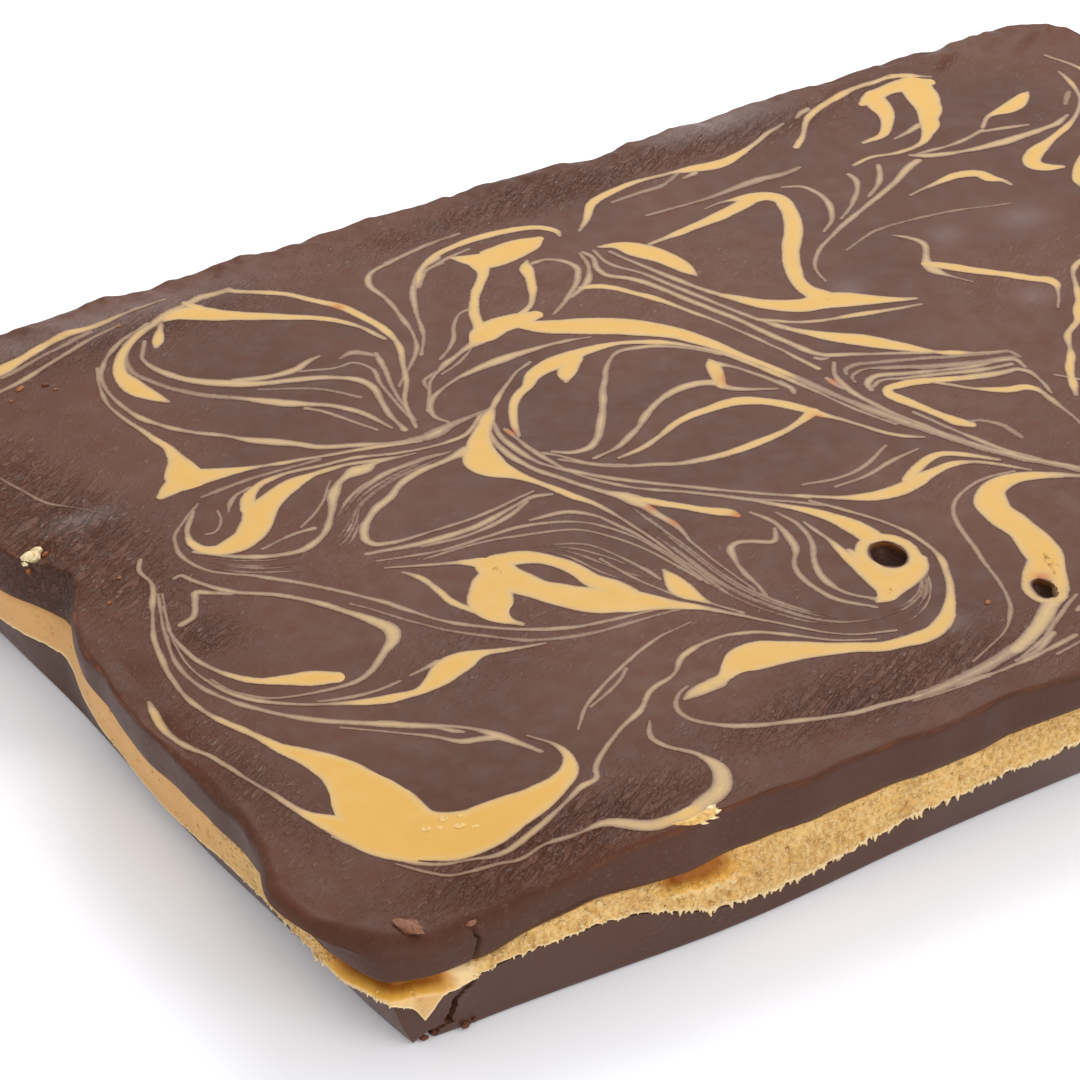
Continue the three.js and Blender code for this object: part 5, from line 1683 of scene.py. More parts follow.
    (GOLD, (-9, 77.4, 1.2), (-10.5, 75.5, 3), (-12.8, 70.5, 2.5), (-16, 64.5, 2), (-19.3, 60.5, 1.4),
     (-23.5, 58, 2)),
    (PALE, (-8.5, 76, 1), (-5.5, 76, 1.2), (-2, 72.3, 1.8), (-1.5, 70, 1.7), (-4, 65, 1.5), (-9, 60.3, 1.6),
     (-13, 57.2, 1.4), (-17.5, 54.5, .5)),
    (PALE, (2.5, 74, .6), (1.3, 69, 1.2), (-4.5, 61.5, 1.6), (-10, 58.8, 1)),
    (GOLD, (-5.5, 61, 2), (-3, 60, 2.3), (2.9, 52, 2.2), (7.8, 39.5, 1.3), (14.5, 15, .9), (16.2, 5, 1)),
    (PALE, (3.5, 74, .8), (4, 71.5, 1.2), (1.8, 66, 1.8), (1.8, 63.5, 2), (5.3, 58.5, 2), (10.8, 42, 1.9),
     (14.5, 30, 1.8), (17.3, 18, 2.1), (20.5, 9, 1.8), (26, 5.8, 1.5), (40, -2.5, 1.2)),
    (PALE, (5.8, 73.5, .8), (5.5, 66, 1.4), (8.3, 60.3, 1.4), (11, 51.5, 1.3), (19.2, 25.8, 1.7),
     (22.8, 19, 2.4)),
    (GOLD, (21, 22, 1.8), (27.5, 13, 4.2), (30.5, 10, 5), (36, 3.5, 4), (41.5, -3.5, 1.8), (45.5, -6.3, 2),
     (48, -8, 1.2), (53, -10.5, .6)),
    (PALE, (8.5, 71, .8), (12.3, 56.5, 2), (17.5, 41.5, 2.2), (19.3, 38.5, 2.8)),
    (GOLD, (17.5, 41.5, 2), (23.8, 32.5, 4.6), (30, 28.3, 6.2), (33.5, 27.8, 6.8), (42.5, 23, 5),
     (45, 21.3, 3.5), (51.5, 17.5, 1.2)),
    (GOLD, (18, 28.5, 1), (24, 23.5, 1.3), (39, 18.2, 1.6), (51, 15, .8)),
    (PALE, (20.5, 7.5, .8), (19.2, 7.8, 1.6), (18.5, 8.8, 1.4)),
    (GOLD, (8, 74.2, 1), (11, 73, 3), (14.3, 68, 6.5), (16.8, 62, 5.8), (17.8, 55.5, 3.8), (18, 51.8, .8)),
    # The tall fork at the back and the strokes right of it
    (GOLD, (18, 69.2, 1.2), (35, 70.9, 3.6), (45, 73, 4.2), (49.5, 74.2, 4.4), (52.6, 73.2, 4.2),
     (54, 71, 4.2), (53.6, 68, 4.4), (51.5, 62.5, 4.2), (47.5, 56.5, 4.6), (41.5, 49.3, 4.4), (34.6, 32, 5),
     (35.2, 29.5, 6)),
    (GOLD, (37, 76, .5), (44, 76.3, 1.4), (47, 75.5, 3), (49.5, 74.8, 4)),
    (GOLD, (8, 82.5, .6), (12, 85.8, 1.4), (18, 92, 2.6), (24, 94, 2.2), (31, 95.1, 1.9), (37, 94.6, 1.3),
     (41, 94.3, 1.4), (45, 93.5, 3), (52, 92, 4), (58.5, 93.2, 2.8), (65, 95.5, 1.8), (71, 98.3, 1.5),
     (76, 99.8, .6)),
    (DULL, (22, 90, .8), (30, 90.3, 1.2), (35, 90.3, 1.4), (42, 93.3, 1.4)),
    (PALE, (42, 90.7, 1), (45, 91.2, 1.5)),
    (DULL, (25, 80.5, .8), (40, 79.8, 1.4), (55, 80.7, 2.8), (63, 80, 2), (66.5, 80.5, 1.6)),
    (GOLD, (72.3, 89.2, 2.2), (76, 92, 1.3), (83, 99.2, 1.7), (95, 103.4, 2), (114, 103.5, 1.4),
     (120, 100.5, .8)),
    (PALE, (80.5, 100.3, 1), (82.5, 101.5, 1.4), (85, 102.3, 1.2)),
    (GOLD, (98, 98, 2.4), (101, 99.2, 4.6), (107, 100.3, 4.6), (111, 100, 5.6), (115, 99, 5.6),
     (117.5, 98.7, 3.5)),
    (GOLD, (102, 99, 5), (101, 96.5, 6), (99.3, 91, 4.5), (96, 86.3, 3), (92, 82.8, 2.4), (86.5, 82.2, 1)),
    (GOLD, (113.5, 98, 8.4), (112, 94, 8.5), (108.8, 87, 6), (106.5, 84, 5), (104.5, 81.3, 4.8),
     (102, 78.5, 3.6), (97, 74.8, 2), (90, 74, 1.4), (83, 75.5, 1.4), (78, 74.5, .8)),
    (PALE, (93.5, 80, 1), (99, 81.3, 2), (102, 82.5, 2)),
    (PALE, (57.5, 75, .6), (62, 72.3, 1.6), (62.8, 69.5, 1.6), (58.5, 57, 1.3), (53, 52.5, .7)),
    (PALE, (74, 71.5, 1), (74, 69.5, 1.4), (71, 64.5, 1.2), (66.5, 60, 1), (60, 55.5, .6)),
    (PALE, (82.3, 71.5, 1), (80, 67.8, 1.5), (76, 63.5, 1.2), (71.5, 60.6, .6)),
    (PALE, (91, 68.3, 2), (88.5, 67.5, 2.4), (83, 64.2, 2), (54, 50.5, 1.2), (46.5, 46, 1.1), (41, 39, .8),
     (40, 34, .6)),
    (DULL, (52, 43, .7), (62, 46.6, .8), (78, 45.7, .8), (96, 40.5, .6)),
    (PALE, (91.5, 71.3, 1.4), (94, 69.5, 2), (105, 65.8, 2), (113, 65, 3), (121, 65, 2.2), (129, 65.5, 1.8),
     (134, 67.5, .8)),
    (PALE, (93, 71, 1), (104, 70.5, 1.3), (113, 72.3, 1.2)),
    (PALE, (112.5, 71.8, .8), (118, 70.5, 1.6), (123.5, 68.8, .7)),
    (GOLD, (114, 73.5, .8), (119, 77.2, 1.8), (121.5, 77.5, 2.8), (124.5, 77.6, 4.2), (130, 79.8, 4.2),
     (132.5, 81.3, 3), (134, 82, 1.2)),
    (GOLD, (79, 55.8, .8), (90, 57.5, 2.2), (94, 57.7, 3), (99, 55, 3.6), (99.4, 52.8, 3.6), (101, 50.5, 1.6),
     (101.5, 47, .5)),
    (GOLD, (116.5, 48, 1.6), (113.5, 49.7, 3.6), (112, 52, 4.6), (113, 54.4, 4.6), (115, 56, 4.8),
     (124, 60.2, 2.4), (130, 62.8, 2), (142, 72.5, 1), (145.5, 80, 1.4), (147, 86.5, .6)),
    (DULL, (137.5, 72.5, 1.2), (142, 76.5, 1.2)),
    (GOLD, (114, 38, .6), (115.2, 40.5, 2.6), (117.5, 43, 3.6), (124, 48.8, 2.8), (128, 51, 1.8),
     (138, 55.5, .6)),
    (PALE, (64.5, 43, .5), (66.3, 41.3, 1.4), (68.2, 36.5, 1.7), (65.5, 32, 1.9), (64, 30, 2.4),
     (62.5, 25.5, 3.4), (64, 21, 1), (66.3, 16.5, .4)),
    (GOLD, (63, 28.4, 2.6), (65.5, 25.8, 3.4), (70, 20, 3), (75, 14.8, 2.8), (79, 10, 3), (80.8, 8.3, 3.2),
     (81, 6.5, 2.6), (79, 3, 1), (74.5, -2.5, .6)),
    # Past the photograph's edge the combing goes on in the same way
    (GOLD, (54.5, -33, 1), (57, -29, 2), (59.5, -25, 2.2), (64.5, -19, 1.6), (69.5, -12, 1.4),
     (75, -8.5, 2.2), (78, -5, 2.6), (81, -1.5, 2), (90, 10.4, 1.4), (114, 7.5, 1.2), (118, 2, 1.8),
     (118, -19, 3), (114, -25, 2), (103, -31.5, .8)),
    (GOLD, (84, -6, 1.2), (76, -12.5, 4.6), (72.5, -22.5, 6.8), (73.5, -28, 6.4), (80.5, -35.6, 3.2),
     (85, -37.5, 1.8), (96, -39.5, .6)),
    (GOLD, (46.3, -73.5, 1.8), (46.8, -78, 2.4), (44.5, -88, 4.2), (41, -93, 5.2), (36.5, -96.5, 5),
     (27, -97.5, 2), (24, -95, 1)),
    (GOLD, (56, -24, .6), (60, -30, 1), (64, -44.5, 2), (63, -52, 2.8), (61, -59, 3.8), (62.5, -72.5, 6),
     (67, -77.5, 6), (79.5, -80, 3), (85.5, -77.5, 1.8), (94, -67, 1), (96.5, -52.5, .7)),
    (PALE, (66, -40, .5), (68.5, -54, .9), (68.5, -61, .9), (71, -67, 1), (76, -70.5, 1), (82, -70, .9),
     (87, -66, .8), (90, -60, .6)),
    (PALE, (3, -96.3, 1.6), (9, -93.8, 1.4), (20.5, -85.5, 1.1), (29, -72, 1), (36.5, -59.5, .9)),
    (GOLD, (0, -102, .8), (17, -101.5, 1), (38, -106, 1.3), (50, -105.5, 1.4), (83, -95, 3.4), (92, -93, 5),
     (100, -93, 6), (107, -95.5, 5), (112, -99, 3), (116, -102.5, 1.4)),
    (GOLD, (150, 95, .6), (152, 86, 1), (151.5, 77, 1.6), (148.5, 69, 2.6), (144.5, 62, 4),
     (141.5, 54.5, 5.4), (141, 47, 6), (143, 40, 5), (147, 34.5, 3), (156, 29, .8)),
    (GOLD, (156, 20, .5), (143.5, 17.5, 1.3), (131, 22.5, 2.6), (126, 27.5, 3.4), (121, 40, 1.8),
     (121.5, 46, 1)),
    (PALE, (158, 5, .6), (151, 3, 1), (137.5, 6.5, 1.2), (129, 16.5, .8)),
    (GOLD, (160, -40, .6), (153, -36, 1), (146, -34, 1.4), (127.5, -42.5, 5), (125.5, -49, 6),
     (127, -55.5, 5.4), (131.5, -60.5, 3.6), (137.5, -63, 2), (151, -62, .7)),
    (PALE, (155, -52, .5), (148, -49.5, .8), (141, -48.5, .9), (135, -50, .8)),
    (GOLD, (158, -98, .6), (152, -93, 1), (137, -88, 2), (129.5, -89.5, 3.2), (123, -93, 4.4),
     (118, -98, 3.4), (115, -103.5, 1.6)),
    (PALE, (100, -20, .6), (106.5, -37, 1.1), (109.5, -57, 1.2), (119.5, -73.5, 1.2), (135.5, -82, .9),
     (144, -83, .6)),
    (PALE, (95, -15, .5), (101.5, -34, 1), (104.5, -56, 1), (115.5, -75.5, 1), (124, -82.5, .8)),
    (GOLD, (112, -2, .6), (108, -8, 1.6), (102, -12, 3.6), (96, -14.5, 5.2), (91, -19, 4), (88.5, -25, 1.8),
     (88, -29, .6)),
    (PALE, (116, -8, .5), (110, -16, 1), (101, -21, 1.2), (95, -27, .9), (92, -33, .5)),
    (PALE, (88, 4.5, .5), (95, 4.5, 1), (104, 2, 1.2), (110, -3, .8), (112, -9, .5)),
    (DULL, (122, -24, .6), (123.5, -12, 1.2), (122.5, 2, 1.2), (117, 11, 1), (108, 15, .6)),
    (GOLD, (104, 20, .6), (111, 17.5, 1.6), (120, 13, 2.8), (126, 8, 3.4), (129, 1, 2.2), (129.5, -8, .8)),
    (PALE, (131, -14, .5), (134, -4, 1.2), (133, 6, 1.2), (129, 13, .6)),
    (GOLD, (161, -8, .6), (156, -12, 1.4), (149, -13.5, 2.8), (143, -16.5, 4.2), (139, -22, 3.2),
     (136, -29, 1.4), (130, -35, .6)),
    (PALE, (160, -18, .5), (153, -20, 1), (147, -23.5, 1.2), (143, -28, 1), (139, -33, .6)),
    (PALE, (126, -36, .5), (120, -44, 1.2), (118, -53, 1.4), (121, -63, 1.2), (127, -69, .8),
     (136, -72, .5)),
    (GOLD, (148, -70, .6), (141, -73, 1.6), (134, -77.5, 3), (128, -78, 2.2), (121, -83, 1), (112, -86, .6)),
    (PALE, (160, -78, .5), (154, -83, 1.1), (147, -86, 1), (139, -85, .5)),
    (GOLD, (92, -50, .5), (88, -56, 1.4), (83, -61, 3), (77, -63.5, 3.6), (73, -60, 2.4), (72, -53, 1),
     (73, -47, .5)),
    (PALE, (70, -32, .5), (78, -42, 1.1), (86, -46.5, 1.3), (95, -46, .9), (102, -42, .5)),
    (PALE, (52, -70, .5), (57, -80, 1.1), (66, -87, 1.4), (78, -88.5, 1.2), (90, -84, .9), (99, -76, .5)),
    (GOLD, (99, -62, .6), (103, -70, 1.6), (107, -77, 3), (109, -84, 3.6), (106, -89, 2), (101, -91, .7)),
    (PALE, (160, 70, .5), (157, 60, 1.1), (154, 50, 1.3), (153.5, 42, 1), (156, 36, .5)),
))

FANS: tuple[Fan, ...] = (
    Fan(4, .6, ((-108, 1.5), (-103, 3), (-98, 6.5), (-94, 11), (-90, 16.5)),
        ((-106, -1), (-101, -.5), (-98, 2), (-94, 6.5), (-90, 12))),
    Fan(4, .6, ((-127.8, 12.5), (-124, 8), (-119, 4.5), (-107, .5)),
        ((-129, 8), (-125, 3.5), (-117, -2.5), (-112, -5))),
    Fan(5, .7, ((-100, 8), (-95, 13), (-85, 18.3), (-75, 20), (-61, 18.2)),
        ((-100, 1.5), (-93, 9), (-83, 14), (-72, 16.9), (-62, 17.5))),
    Fan(4, .6, ((-73, -20.5), (-68, -27), (-65.5, -36), (-61.5, -44.5), (-59, -49)),
        ((-72, -20), (-61, -25), (-57, -35), (-55.5, -40))),
    Fan(5, .75, ((-52, -15), (-50.5, -35), (-49.5, -55), (-46, -65), (-39, -74.5), (-28, -80)),
        ((-47.5, -15), (-46.2, -35), (-45, -55), (-41.5, -65), (-36, -73), (-26, -77.5))),
    Fan(4, .75, ((-10.5, -62), (-13.5, -71.5), (-20, -79.5), (-28, -82.5), (-32, -82.5)),
        ((-12.5, -68.5), (-19, -74.5), (-27, -75.5), (-31, -74))),
    Fan(4, .55, ((100, -20), (106.5, -37), (109.5, -57), (119.5, -73.5), (135.5, -82)),
        ((95, -15), (101.5, -34), (104.5, -56), (115.5, -75.5), (124, -82.5))),
    Fan(4, .6, ((128, -28), (121, -38), (117, -50), (119, -62)),
        ((123, -28), (115, -39), (112, -52), (115, -66))),
    Fan(4, .6, ((120, -104), (128, -98), (140, -93), (152, -97)),
        ((124, -107), (131, -103), (141, -100), (150, -103))),
)


@dataclass(frozen=True)
class Marbling:
    """The nut fudge combed into the top face as streaks, pools and threads."""

    form: TrayForm
    top: TopLayer
    streaks: tuple[Streak, ...]
    fans: tuple[Fan, ...]
    step: float = 0.7
    # Each kind of streak: its piece, the width that it starts from, the sides of its ribbon and its lift
    kinds: tuple[tuple[str, float, int, float], ...] = (
        ("swirl_pools", 5.0, 18, 0.05), ("swirl_bands", 2.6, 12, 0.05), ("swirl_lines", 0.0, 8, 0.03))
    crown_share: float = 0.8
    sink: float = 0.15
    drip: float = 2.0
    least_width: float = 0.22
    # Full widths between which a streak turns from beige to gold, and what a hair-thin one gains
    gold_widths: tuple[float, float] = (0.9, 2.7)
    thin_gain: float = 0.35
    # Away from the near left pool the gold is stirred paler, over this range of x plus y
    far_paling: float = 0.16
    far_reach: tuple[float, float] = (-210.0, -120.0)
    blend: float = 0.3
    wander: float = 0.3
    sway: float = 0.12
    blunt: float = 0.5
    # Threads of a fan: place in each one's share of it, gain in width, and where each begins and ends
    thread_places: tuple[float, float] = (0.2, 0.8)
    thread_widths: tuple[float, float] = (0.9, 1.6)
    thread_starts: tuple[float, float] = (0.0, 0.25)
    thread_ends: tuple[float, float] = (0.7, 1.0)
    thread_sway: float = 0.45
    thread_uneven: float = 0.4
    thread_taper: float = 7.0
    pale_threads: float = 0.2
    oil_strength: float = 0.85
    cap_points: int = 6
    ring_share: float = 0.32
    ring_least: float = 0.7
    ring_gap: float = 0.3
    cell: float = 10.0
    seed: int = 17
    # Reddish spots where oil has parted from the fudge: place and reach
    oil_spots: tuple[Point, ...] = (
        (-31.5, -33.0, 1.6), (-44.0, -21.4, 1.3), (-54.3, 82.5, 1.5), (4.3, -11.0, 1.3), (-2.0, 11.5, 2.2),
        (15.4, -1.0, 1.2), (-51.4, 18.6, 1.2), (4.5, -83.5, 1.8), (-43.5, -28.2, 1.2), (-66.7, -10.5, 0.8))

    def paths(self) -> list[tuple[Array, Tone]]:
        """Works out every streak and thread.

        Returns:
            Each path, with its half width in the third column, and its tone.
        """
        made = []
        for number, streak in enumerate(self.streaks):
            path = smooth_path(streak.points, self.step)
            walk = np.arange(len(path)) * self.step
            own = np.full(len(path), number * 3.7)
            noise = [smooth_noise(walk / 4.0, own, self.seed + turn) for turn in range(3)]
            narrow = np.clip(2.0 - path[:, 2] / 1.5, 0.25, 1.0)
            path[:, 2] += self.thin_gain * (1.0 - ease(path[:, 2], 0.6, 2.2))
            path[:, 2] *= 1.0 + self.wander * narrow * noise[0]
            path[:, 2] = np.maximum(path[:, 2], self.least_width) / 2.0
            path[:, :2] += self.sway * np.stack(noise[1:], axis=1)
            made.append((self.round_ends(path), streak.tone))
        made += [(self.bubble_ring(bubble), Tone.GOLD) for bubble in self.top.bubbles]
        draw = np.random.default_rng(self.seed)
        for fan in self.fans:
            guide, other = self.guides(fan)
            share = np.linspace(0.0, 1.0, len(guide))
            for thread in range(fan.threads):
                start = (thread + draw.uniform(*self.thread_places)) / fan.threads
                own = np.full(len(share), float(thread))
                sway = smooth_noise(share * 3.0, own * 5.3, self.seed + 1) * self.thread_sway / fan.threads
                place = guide + (other - guide) * (start + sway)[:, None]
                uneven = 1.0 + self.thread_uneven * smooth_noise(share * 9.0, own * 2.9, self.seed + 2)
                width = fan.width * draw.uniform(*self.thread_widths) * uneven
                first = round(draw.uniform(*self.thread_starts) * len(guide))
                last = round(draw.uniform(*self.thread_ends) * len(guide))
                order = np.arange(len(guide))
                inside = np.minimum(order - first, last - 1 - order) * self.step
                width *= np.clip(inside / self.thread_taper, 0.0, 1.0)
                thread_path = np.column_stack([place, np.maximum(width, self.least_width) / 2.0])[first:last]
                made.append((thread_path, Tone.PALE if draw.uniform() < self.pale_threads else Tone.DULL))
        return made

    def bubble_ring(self, bubble: Bubble) -> Array:
        """A gold ring close round a burst bubble.

        Args:
            bubble: The bubble.

        Returns:
            Its path, closed on itself, with half widths.
        """
        half = (self.ring_least + self.ring_share * bubble.width) / 2.0
        turns = np.linspace(0.0, 2.0 * math.pi, 49)
        across = (bubble.width / 2.0 + half + self.ring_gap) * np.cos(turns)
        ahead = (bubble.length / 2.0 + half + self.ring_gap) * np.sin(turns)
        tilt = math.radians(self.top.bubble_turn_deg)
        return np.column_stack([bubble.x + across * math.cos(tilt) - ahead * math.sin(tilt),
                                bubble.y + across * math.sin(tilt) + ahead * math.cos(tilt),
                                np.full(len(turns), half)])

    def round_ends(self, path: Array) -> Array:
        """Carries a streak on past each blunt end in a half circle.

        Args:
            path: Places and half widths.

        Returns:
            The longer path.
        """
        caps = []
        for tip, before in ((path[0], path[1]), (path[-1], path[-2])):
            reach = tip[2]
            if reach < self.blunt:
                caps.append(np.empty((0, 3)))
                continue
            ahead = (tip - before)[:2] / np.linalg.norm((tip - before)[:2])
            turns = np.linspace(0.0, math.pi / 2.0, self.cap_points + 1)[1:]
            caps.append(np.column_stack([tip[:2] + np.outer(np.sin(turns) * reach, ahead),
                                         np.maximum(np.cos(turns) * reach, self.least_width / 2.0)]))
        return np.concatenate([caps[0][::-1], path, caps[1]])

    def guides(self, fan: Fan) -> tuple[Array, Array]:
        """A fan's two guides, with the same number of points each."""
        first, second = smooth_path(fan.guide, self.step), smooth_path(fan.other, self.step)
        count = max(len(first), len(second))
        even = np.linspace(0.0, 1.0, count)
        spread = [np.column_stack([np.interp(even, np.linspace(0.0, 1.0, len(side)), side[:, axis])
                                   for axis in (0, 1)]) for side in (first, second)]
        return spread[0], spread[1]

    def ribbon_tree(self) -> Tree:
        """Builds the tree that lays flat ribbons on the top face along paths.

        Returns:
            The Geometry Nodes tree.
        """
        tree, start = new_tree("streaks_on_the_face", ("Lift", "Crown", "Sink", "Drip"), Face="Object",
                               Sides="Int", Finish="Material")
        curve = add_node(tree, MESH_TO_CURVE, None, {"Mesh": start["Geometry"]})
        flat = add_node(tree, "GeometryNodeSetCurveNormal", {"mode": "Z_UP"}, {"Curve": curve})
        reach = add_node(tree, NAMED_ATTRIBUTE, FLOAT, {"Name": "half_width"})
        section = add_node(tree, "GeometryNodeCurvePrimitiveCircle", {"mode": "RADIUS"}, {
            "Resolution": start["Sides"], "Radius": 1.0})
        ribbon = add_node(tree, "GeometryNodeCurveToMesh", None, {
            "Curve": flat, "Profile Curve": section, "Scale": reach, "Fill Caps": True})
        place = add_node(tree, "GeometryNodeInputPosition")
        x, y, z = add_node(tree, SEPARATE, None, {0: place}).node.outputs
        face = add_node(tree, "GeometryNodeObjectInfo", None, {"Object": start["Face"]}, "Geometry")
        above = add_node(tree, COMBINE, None, {"X": x, "Y": y, "Z": 1.0})
        hit = add_node(tree, "GeometryNodeRaycast", None, {
            "Target Geometry": face, "Source Position": above, "Ray Direction": (0.0, 0.0, -1.0),
            "Ray Length": 2.0})
        ground = add_node(tree, SEPARATE, None, {0: hit.node.outputs["Hit Position"]}, "Z")
        turn = add_node(tree, MATH, {"operation": "DIVIDE"}, {0: z, 1: reach})
        over = add_node(tree, MATH, MAXIMUM, {0: turn, 1: 0.0})
        under = add_node(tree, MATH, {"operation": "MINIMUM"}, {0: turn, 1: 0.0})
        height = add_node(tree, MATH, MULTIPLY_ADD, {0: over, 1: start["Crown"], 2: start["Lift"]})
        height = add_node(tree, MATH, MULTIPLY_ADD, {0: under, 1: start["Sink"], 2: height})
        upright = add_node(tree, MATH, ADD, {0: height, 1: ground})
        laid = add_node(tree, COMBINE, None, {"X": x, "Y": y, "Z": upright})
        # Past the rim there is no face below, so a drip clings to the nearest place on the rolled edge
        outside = add_node(tree, COMBINE, None, {"X": x, "Y": y, "Z": start["Drip"]})
        edge = add_node(tree, "GeometryNodeProximity", {"target_element": "FACES"}, {
            "Geometry": face, "Sample Position": outside})
        away = add_node(tree, VECTOR_MATH, SUBTRACT, {0: outside, 1: edge})
        away = add_node(tree, VECTOR_MATH, {"operation": "NORMALIZE"}, {0: away})
        cling = add_node(tree, VECTOR_MATH, {"operation": "SCALE"}, {0: away, "Scale": height})
        cling = add_node(tree, VECTOR_MATH, ADD, {0: edge, 1: cling})
        resting = add_node(tree, "GeometryNodeSwitch", {"input_type": "VECTOR"}, {
            "Switch": hit, "False": cling, "True": laid})
        settled = add_node(tree, "GeometryNodeSetPosition", None, {"Geometry": ribbon, "Position": resting})
        return end_tree(tree, settled, start["Finish"])

    def depth(self, place: Array, paths: list[tuple[Array, Tone]]) -> tuple[Array, Array]:
        """How deep inside the marbling places on the face lie.

        Args:
            place: Points on the face.
            paths: Every streak and thread, with its tone.

        Returns:
            Depth in millimetres, scaled by richness and 0 outside, and how far each place is paled.
        """
        starts = np.concatenate([path[:-1] for path, _ in paths])
        ends = np.concatenate([path[1:] for path, _ in paths])
        rich, pale = (np.concatenate([np.full(len(path) - 1, tone.value[part]) for path, tone in paths])
                      for part in (0, 1))
        pale = 1.0 - (1.0 - pale) * ease(starts[:, 2] + ends[:, 2], *self.gold_widths)
        pale = np.maximum(pale, self.far_paling * ease(starts[:, 0] + starts[:, 1], *self.far_reach))
        home = np.floor(starts[:, :2] / self.cell).astype(int)
        seat = np.floor(place[:, :2] / self.cell).astype(int)
        deep, paled = np.zeros(len(place)), np.zeros(len(place))
        for cell in np.unique(seat, axis=0):
            mine = np.flatnonzero((seat == cell).all(axis=1))
            near = np.flatnonzero((np.abs(home - cell) <= 1).all(axis=1))
            if len(near) == 0:
                continue
            spot = place[mine][:, None, :2]
            begin, way = starts[near][None, :, :2], (ends - starts)[near][None, :, :2]
            length = np.maximum((way ** 2).sum(axis=2), 1e-9)
            share = np.clip(((spot - begin) * way).sum(axis=2) / length, 0.0, 1.0)
            away = np.linalg.norm(spot - begin - way * share[:, :, None], axis=2)
            half = starts[near][None, :, 2] + (ends - starts)[near][None, :, 2] * share
            inside = (half - away) * rich[near][None, :]
            deep[mine] = np.maximum(0.0, inside.max(axis=1))
            weight = np.exp((inside - inside.max(axis=1)[:, None]) / self.blend)
            paled[mine] = (weight * pale[near][None, :]).sum(axis=1) / weight.sum(axis=1)
        return deep, paled

    def build(self, face: Piece) -> list[Piece]:
        """Lays the marbling on the finished top face.

        Args:
            face: The top layer's piece.

        Returns:
            The finished pieces.
        """
        paths = self.paths()
        tree = self.ribbon_tree()
        pieces, widest = [], math.inf
        for name, least, sides, lift in self.kinds:
            group = [path for path, _ in paths if least <= path[:, 2].max() * 2.0 < widest]
            widest = least
            piece = run_nodes(self.carrier(name, group), tree, {
                "Face": face, "Sides": sides, "Lift": lift * MM, "Crown": self.crown_share * lift * MM,
                "Sink": self.sink * MM, "Drip": (self.form.height - self.drip) * MM,
                "Finish": MARBLING.material()})
            points = tray_points(piece)
            for label, values in zip(("depth", "paled"), self.depth(points, paths)):
                set_attribute(piece, label, values)
            set_attribute(piece, "oil", self.oil(points))
            pieces.append(register(shade(piece), "nut_swirl"))
        return pieces

    def oil(self, place: Array) -> Array:
        """How oily places on the face are."""
        share = [np.exp(-((place[:, 0] - x) ** 2 + (place[:, 1] - y) ** 2) / reach ** 2)
                 for x, y, reach in self.oil_spots]
        return np.max(share, axis=0) * self.oil_strength

    def carrier(self, name: str, group: list[Array]) -> Piece:
        """Makes a wire of paths that carries their half widths.

        Args:
            name: The object's name.
            group: The paths.

        Returns:
            An object of loose edges, flat on the floor.
        """
        points = np.concatenate([np.column_stack([path[:, :2], np.zeros(len(path))]) for path in group])
        edges: list[Sequence[int]] = []
        first = 0
        for path in group:
            edges += [(number, number + 1) for number in range(first, first + len(path) - 1)]
            first += len(path)
        wire = new_object(name, points, [], edges)
        set_attribute(wire, "half_width", np.concatenate([path[:, 2] for path in group]) * MM)
        return wire


class ChipTone(Enum):
    """What a loose bit is made of, as the colour of its broken surface."""

    CHOCOLATE = "#6A3B28"
    FLAKE = "#8C6048"
    AMBER = "#9A5F30"
    CREAM = "#EEDDB0"
    BUBBLE = "#E4BE72"


@dataclass(frozen=True)
class Chip:
    """One loose bit: its middle, its length, width and height, its turn and its tone.

    A place without a height rests on the top face.
    """

    tone: ChipTone
    place: tuple[float, ...]
    size: Point
    turn_deg: float = 0.0


@dataclass(frozen=True)
class ChipFinish(Finish):
    """Broken crumb: dull, grainy and a little uneven in colour."""

    grain_mm: float = 0.7
    grain_height_mm: float = 0.12
    grain_shade: str = "#DDC8BC"

    def paint(self, tree: Tree) -> Values:
        """Draws each bit's own tint, its grain and its dullness.

        Args:
            tree: The material's tree.

        Returns:
            What goes into the shader.
        """
        place = add_node(tree, COORDINATES, output="Object")
        grain = add_node(tree, NOISE, None, {
            "Vector": place, "Scale": per_mm(self.grain_mm), "Detail": 4.0, "Roughness": 0.6})
        tint = add_node(tree, ATTRIBUTE, {"attribute_name": "tint"}, output="Color")
        dark = add_node(tree, MIX, {**RGBA, "blend_type": "MULTIPLY"}, {
            0: 1.0, 6: tint, 7: linear(self.grain_shade)})
        share = add_node(tree, MAP_RANGE, SMOOTH, {"Value": grain, "From Min": 0.35, "From Max": 0.6})
        colour = add_node(tree, MIX, RGBA, {0: share, 6: dark, 7: tint})
        height = add_node(tree, MATH, MULTIPLY, {0: grain, 1: self.grain_height_mm})
        bump = add_node(tree, BUMP, None, {"Height": height, "Distance": MM})
        rough = add_node(tree, MAP_RANGE, None, {"Value": grain, "To Min": 0.5, "To Max": 0.75})
        return {"Base Color": colour, "Roughness": rough, "Normal": bump, "Specular IOR Level": 0.3}


